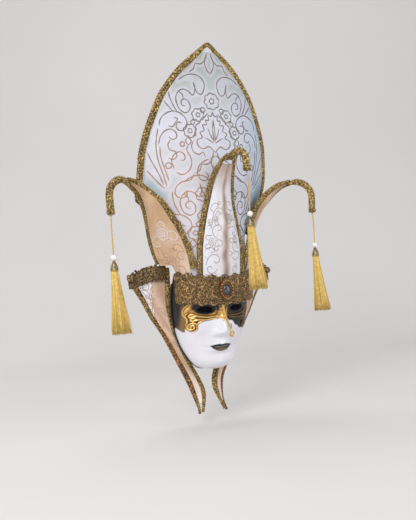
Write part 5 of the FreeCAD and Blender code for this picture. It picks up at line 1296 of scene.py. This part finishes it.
# ---------------------------------------------------------------- lace
def lace(name, S, thick, L, H, node, rows, seed, extra=None, k_top=9, smin=0.015, smax=0.985, tone=1.0):
    """Metallic lace: a dense ground with scalloped edges, rows of looped cord, rosettes and small gold beads."""
    r = np.random.default_rng(seed)
    bag, gb_ = Bag(), Bag()
    ns, nt = int(L / 1.0), int(H / 1.1)
    s_, t_ = np.meshgrid(np.linspace(0, 1, ns), np.linspace(0, 1, nt))
    bumpy = 0.22 * np.sin(s_ * L * 1.9) * np.sin(t_ * H * 1.7) + 0.12 * np.sin(s_ * L * 3.3 + t_ * H * 2.1)
    slab(bag, S.pt(s_, t_, thick - 0.45 + bumpy * 0.8), S.pt(s_, t_, 0.0), None, (0.62 * tone, 0.60 * tone, 0.56 * tone), None, None, flip=(S.flip != (S.side == "left")))
    def loops(sc, tc, rad, w, h, off, lobes=0, colr=1.0, m=15):
        a = np.linspace(0, 2 * np.pi, m)
        rr = rad[:, None] * (1 + (0.18 * np.cos(lobes * a) if lobes else 0.0))
        du, dv = S.frame(0.5, 0.5)
        P = []
        sq = sc[:, None] + rr * np.cos(a)[None] / du
        tq = tc[:, None] + rr * np.sin(a)[None] / dv
        sq, tq = np.clip(sq, 0.0, 1.0), np.clip(tq, -0.03, 1.03)
        g = r.uniform(0.75, 1.35, len(sc))
        cols = np.stack([g, g * 0.97, g * 0.92], -1) * colr * tone
        tubes(bag, S.pt(sq, tq, thick + off), w, h, S.nrm(sq, tq), 5, cols)
    # rows of small interlaced loops
    for j in range(rows):
        tc = (j + 0.5) / rows
        n = int(L / 4.6)
        sc = (np.arange(n) + (0.5 if j % 2 else 0.0) + 0.25) / n
        sc = sc + r.normal(0, 0.0012, n)
        ok = (sc > smin) & (sc < smax)
        sc = sc[ok]
        loops(sc, np.full(len(sc), tc) + r.normal(0, 0.008, len(sc)), r.uniform(2.0, 2.9, len(sc)), 0.62, 0.55, -0.1)
    # rosettes of six petals in a staggered field
    n = int(L / 13.0)
    for j, tc in enumerate((0.26, 0.50, 0.74)):
        sc = (np.arange(n) + (0.5 if j % 2 else 0.0) + 0.3) / n
        sc = sc[(sc > smin + 0.02) & (sc < smax - 0.02)]
        for q in range(6):
            a = q * np.pi / 3 + j * 0.3
            du, dv = S.frame(0.5, 0.5)
            loops(sc + 3.0 * math.cos(a) / du, np.full(len(sc), tc) + 3.0 * math.sin(a) / dv, np.full(len(sc), 1.75), 0.55, 0.60, 0.35, colr=1.15, m=11)
        ball(gb_, S.pt(sc, np.full(len(sc), tc), thick + 0.9), 0.95, (1, 0.95, 0.85), rings=4, seg=8)
    # scalloped edge: a fan of petals on every scallop, and a double cord
    for edge, sgn in ((1.0, 1), (0.0, -1)):
        for off_, w_ in ((0.0, 0.95), (-0.055, 0.7)):
            sq = np.linspace(smin, smax, int(L / 0.9))
            tq = np.full_like(sq, edge + sgn * off_)
            wv = 0.012 * np.sin(np.arange(len(sq)) * 1.3)
            # the brightness rising and falling along the cord is painted glints on its twists
            c_ = (0.85 + 0.45 * np.sin(np.arange(len(sq)) * 1.9))[None, :, None] * np.array([1.0, 0.96, 0.88]) * tone
            tubes(bag, S.pt(sq, np.clip(tq + wv, -0.02, 1.02), thick * 0.55 + 0.1), w_, w_ * 0.95, S.nrm(sq, tq), 7, c_)
    du, dv = S.frame(0.5, 0.5)
    cs = (np.arange(k_top) + 0.5) / k_top
    cs = cs[(cs > smin) & (cs < smax)]
    for a in np.linspace(-1.15, 1.15, 7):
        for rad in (3.6, 6.4):
            sc = cs + rad * math.sin(a) / du
            tc = np.full(len(cs), 1.0) - (6.2 - rad * math.cos(a)) / dv
            ok = (sc > smin) & (sc < smax)
            loops(sc[ok], tc[ok], np.full(ok.sum(), 1.25), 0.50, 0.55, 0.3, colr=1.1, m=9)
    nb = int(L * H / 13.0)
    sc, tc = r.uniform(smin, smax, nb), r.uniform(0.04, 0.97, nb)
    ball(gb_, S.pt(sc, tc, thick + r.uniform(0.1, 0.7, nb)), r.uniform(0.40, 0.72, nb), r.uniform(0.45, 1.25, nb)[:, None] * np.array([1.0, 0.9, 0.72]), rings=4, seg=6)
    if extra:
        extra(bag, gb_, S, r, loops)
    build(name, bag, M["lace"], "mask", [node])
    build(name + "_beads", gb_, M["gold_bead"], "mask")

SB = Surf(band, False)
def band_extra(bag, gb_, S, r, loops):
    # larger scroll loops beside the brooch
    for sg in (-1, 1):
        for i in range(4):
            sc = np.array([0.5 + sg * (0.155 + 0.075 * i)])
            loops(sc, np.array([0.62 + 0.05 * (i % 2)]), np.array([4.6]), 0.7, 0.7, 0.55, colr=1.2, m=19)
            loops(sc, np.array([0.62 + 0.05 * (i % 2)]), np.array([2.6]), 0.6, 0.7, 0.65, colr=1.1, m=13)
lace("forehead_lace_band", SB, BAND_T, 176.0, 50.0, "forehead_lace", 9, 21, band_extra)

for side in ("right", "left"):
    S = Surf(wing_lace, True, side)
    def wing_extra(bag, gb_, S, r, loops, side=side):
        # bound corner: a knob of wound braid, and a dark glass bead beside it
        C = mir(np.array([143.2, 14.2, 169.5]), side)
        for i, (dx, dy, dz, rr, rt) in enumerate(((0, 0, 3.4, 3.6, 1.5), (0.4, -0.6, 1.0, 4.6, 1.7), (0.5, -0.6, -1.7, 4.7, 1.7), (0.2, 0, -4.2, 3.8, 1.5))):
            an = np.linspace(0, 2 * np.pi, 33)
            dxm = -dx if side == "left" else dx
            ringp = C + np.stack([dxm + rr * np.cos(an), dy + 0.75 * rr * np.sin(an), np.full(33, dz) + 0.8 * np.sin(an)], -1)
            tubes(bag, ringp, rt * (1 + 0.12 * np.sin(an * 11)), None, (0, 0, 1), 7, (1.0 + 0.25 * (i % 2),) * 3)
        ball(bag, [C], 4.2, (0.5, 0.48, 0.45), rings=6, seg=12)
        q = r.uniform(-1, 1, (26, 3)); q = vunit(q) * np.array([6.0, 4.6, 6.0])
        ball(gb_, C + q, 0.62, (1, 0.95, 0.8), rings=4, seg=6)
        tops = np.array([0.16, 0.30, 0.46, 0.60, 0.74, 0.88])
        ball(bag, S.pt(tops, np.full(6, 1.06), 0.9), 2.1, (0.95, 0.92, 0.85), rings=6, seg=10)
        ball(gb_, S.pt(np.array([0.815]), np.array([1.16]), 0.6), 2.1, (0.02, 0.03, 0.06), rings=7, seg=12)
    lace("wing_%s_lace_strip" % side, S, 1.7, 70.0, 24.0, "wing_%s_lace" % side, 5, 31 if side == "right" else 32, wing_extra, k_top=4, smin=0.01, smax=0.985)

# ---------------------------------------------------------------- tassels
def silk_tassel(side, px, py, pz, drop, low, seed):
    r = np.random.default_rng(seed)
    cap_top = pz - drop - PEARL_R - 0.35
    zt, zb = cap_top - CAP_H + 2.8, pz - low
    DX, DY = 4.5, -2.5
    bag = Bag()
    # inner bundle, coloured darker: painted shade inside the skirt
    q = np.linspace(0, 1, 16)
    f = q ** 1.25
    an = np.linspace(0, 2 * np.pi, 33)
    Rx, Ry = lerp(4.6, 13.6, f)[:, None], lerp(4.6, 10.4, f)[:, None]
    zc = lerp(zt - 1.0, zb + 4.5, q)[:, None] * np.ones_like(an)[None]
    wv = 1 + 0.05 * np.sin(an * 9 + 1.0)[None] * f[:, None]
    G = np.stack([px + DX * f[:, None] + Rx * wv * np.cos(an), py + DY * f[:, None] + Ry * wv * np.sin(an), zc], -1)
    C0 = np.stack([px + DX * f[:, None] * np.ones_like(an), py + DY * f[:, None] * np.ones_like(an), zc + 0.2], -1)
    slab(bag, G, lerp(G, C0, 0.5), None, (0.58, 0.52, 0.40), flip=False)
    n = 430
    th = r.uniform(0, 2 * np.pi, n)
    rho = np.where(r.uniform(0, 1, n) < 0.66, r.uniform(0.90, 1.0, n), np.sqrt(r.uniform(0.05, 0.9, n)))
    dth = r.normal(0, 0.10, n)
    lend = r.normal(0, 1.0, n) * 1.3 - 1.2 * np.abs(r.normal(0, 1, n)) * 0.6
    m = 13
    u = np.linspace(0, 1, m)[None]
    fq = u ** 1.25
    a = th[:, None] + dth[:, None] * u
    wob = 0.35 * np.sin(u * r.uniform(4, 9, n)[:, None] + r.uniform(0, 6, n)[:, None]) * u
    Rx = lerp(5.3, 15.4, fq) * rho[:, None] + wob
    Ry = lerp(5.3, 11.9, fq) * rho[:, None] + wob
    top = 3.2
    Rx = np.where(u < 0.06, np.minimum(Rx, 5.0), Rx)
    Ry = np.where(u < 0.06, np.minimum(Ry, 5.0), Ry)
    end = np.minimum(zb - lend, zb + 5.0)
    end = np.maximum(end, zb - 3.5)
    z = zt + (end[:, None] - zt) * u
    P = np.stack([px + DX * fq + Rx * np.cos(a), py + DY * fq + Ry * np.sin(a), z], -1)
    # locks: neighbouring strands share a tone
    lock = np.sin(th * 7 + 1.3) * 0.5 + np.sin(th * 17 + 0.4) * 0.5
    g = 1.0 + 0.16 * lock + r.normal(0, 0.10, n)
    g = np.clip(g, 0.55, 1.28)
    tip = lerp(1.0, 0.80, smooth(0.75, 1.0, u))
    c = (g[:, None] * tip)[..., None] * np.stack([np.ones((n, m)), np.full((n, m), 0.97) - 0.05 * (1 - tip), np.full((n, m), 0.90)], -1)
    tubes(bag, P, np.where(u < 0.9, 0.56, 0.46) * np.ones((n, m)), None, (0.3, 1.0, 0.1), 4, c)
    # stray strands
    ns = 16
    a = r.normal(0.2, 0.9, ns) if side != "left" else r.normal(0.0, 1.0, ns)
    u = np.linspace(0, 1, 16)[None]
    far = r.uniform(1.02, 1.22, ns)[:, None]
    P = np.stack([px + DX * u ** 1.25 + lerp(5.2, 15.6, u ** 1.1) * lerp(1, far, u ** 2) * np.cos(a)[:, None],
                  py + DY * u ** 1.25 + lerp(5.2, 12.0, u ** 1.1) * lerp(1, far, u ** 2) * np.sin(a)[:, None],
                  zt + (zb + r.uniform(-3.0, 9.0, ns)[:, None] - zt) * u], -1)
    tubes(bag, P, 0.30, None, (0.3, 1.0, 0.1), 4, (0.95, 0.9, 0.8))
    # binding thread under the cap
    an = np.linspace(0, 2 * np.pi, 25)
    for k in range(3):
        tubes(bag, np.array([px, py, zt - 3.3 - 0.9 * k]) + np.stack([(5.9 + 0.12 * k) * np.cos(an), (5.9 + 0.12 * k) * np.sin(an), 0 * an], -1), 0.42, None, (0, 0, 1), 6, (0.7, 0.62, 0.45))
    build("tassel_%s_silk" % side, bag, M["silk"], "tassel_" + side, ["tassel_%s_skirt" % side])
    # the tied knot at the end of the horn
    kb = Bag()
    a = np.linspace(0, 2 * np.pi, 60)
    P = np.stack([(1.05 + 0.42 * np.cos(3 * a)) * np.cos(2 * a), (1.05 + 0.42 * np.cos(3 * a)) * np.sin(2 * a), 0.75 * np.sin(3 * a)], -1) * 0.92
    tubes(kb, P + np.array([px, py, pz]), 0.62, None, (0.2, 0.1, 1.0), 8, (1, 1, 1))
    ball(kb, [[px, py, pz]], 1.35, (0.7, 0.7, 0.7), rings=6, seg=10)
    build("tassel_%s_tied_knot" % side, kb, M["cordm"], "tassel_%s_loop" % side, ["tassel_%s_knot" % side])
for i, (side, (px, py, pz, drop, low)) in enumerate(TASSELS.items()):
    silk_tassel(side, px, py, pz, drop, low, 40 + i)

# ---------------------------------------------------------------- CAD nodes that stay, with their finish
def dress(node, mat):
    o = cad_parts[node]
    o.data.materials.clear()
    o.data.materials.append(mat)
    if "Col" not in o.data.attributes:
        a = o.data.attributes.new("Col", "FLOAT_COLOR", "POINT")
        a.data.foreach_set("color", np.ones(len(o.data.vertices) * 4, np.float32))
KEEP = {"panel_board": "card", "panel_stay": "steel", "hanger_plate": "brass", "hanger_rivets": "brass",
        "brooch_setting": "setting", "brooch_beads": "brooch_bead", "brooch_stone": "stone"}
for s_ in ("left", "centre", "right"):
    KEEP["horn_%s_board" % s_] = "card"
    KEEP["horn_%s_wires" % s_] = "steel"
    KEEP["tassel_%s_pearl" % s_] = "pearl"
    KEEP["tassel_%s_cap" % s_] = "cap"
for s_ in ("left", "right"):
    KEEP["wing_%s_board" % s_] = "card"
for node, key in KEEP.items():
    dress(node, M[key])

# ---------------------------------------------------------------- floor, backdrop and light
def stage_mat(name, c0, c1, rough):
    m, nt, b, tc = begin(name)
    n1 = noise(nt, tc.outputs["Object"], 1.2, 2.0)
    nt.links.new(ramp(nt, n1, [(0.3, c0), (0.7, c1)]), b.inputs["Base Color"])
    setc(b, Roughness=rough)
    return m
FZ = (-103.0 - 330.0) * 0.001
prof_ = [(-3.2, FZ), (1.1, FZ)] + [(1.1 + 0.9 * math.sin(a), FZ + 0.9 * (1 - math.cos(a))) for a in np.linspace(0.1, math.pi / 2, 16)] + [(2.0, 4.2)]
me = bpy.data.meshes.new("floor")
vs, fs_ = [], []
ax_, ay_ = np.array([math.cos(TH), -math.sin(TH)]), np.array([math.sin(TH), math.cos(TH)])
for d, z in prof_:
    for w_ in (-4.5, 4.5):
        p = ax_ * w_ + ay_ * d
        vs.append((p[0], p[1], z))
for i in range(len(prof_) - 1):
    fs_.append((2 * i, 2 * i + 1, 2 * i + 3, 2 * i + 2))
me.from_pydata(vs, [], fs_)
for p in me.polygons:
    p.use_smooth = True
me.materials.append(stage_mat("pale_floor", (0.715, 0.695, 0.69), (0.75, 0.73, 0.725), 0.85))
floor = bpy.data.objects.new("floor", me)
bpy.context.scene.collection.objects.link(floor)

def area_light(name, loc, tgt, size, power, colr=(1, 1, 1)):
    l = bpy.data.lights.new(name, "AREA")
    l.shape, l.size, l.energy, l.color = "DISK", size, power, colr
    o = bpy.data.objects.new(name, l)
    bpy.context.scene.collection.objects.link(o)
    o.location = loc
    o.rotation_mode = "QUATERNION"
    o.rotation_quaternion = (Vector(tgt) - Vector(loc)).to_track_quat("-Z", "Y")
c0 = Vector((0, 0.04, -0.12))
area_light("key", (-1.75, -1.55, 1.15), c0, 1.3, 36.5, (1.0, 0.985, 0.965))
area_light("fill", (1.3, -2.0, 0.35), c0, 1.9, 13.0, (0.92, 0.96, 1.0))
area_light("top", (0.1, 0.2, 2.3), c0, 1.8, 15.5)
area_light("back", (-1.2, 1.5, 0.9), c0, 1.2, 7.0)
wd = bpy.data.worlds.new("studio")
bpy.context.scene.world = wd
wd.use_nodes = True
bgn = wd.node_tree.nodes.get("Background") or wd.node_tree.nodes.new("ShaderNodeBackground")
bgn.inputs[0].default_value = (0.93, 0.93, 0.95, 1)
bgn.inputs[1].default_value = 0.50
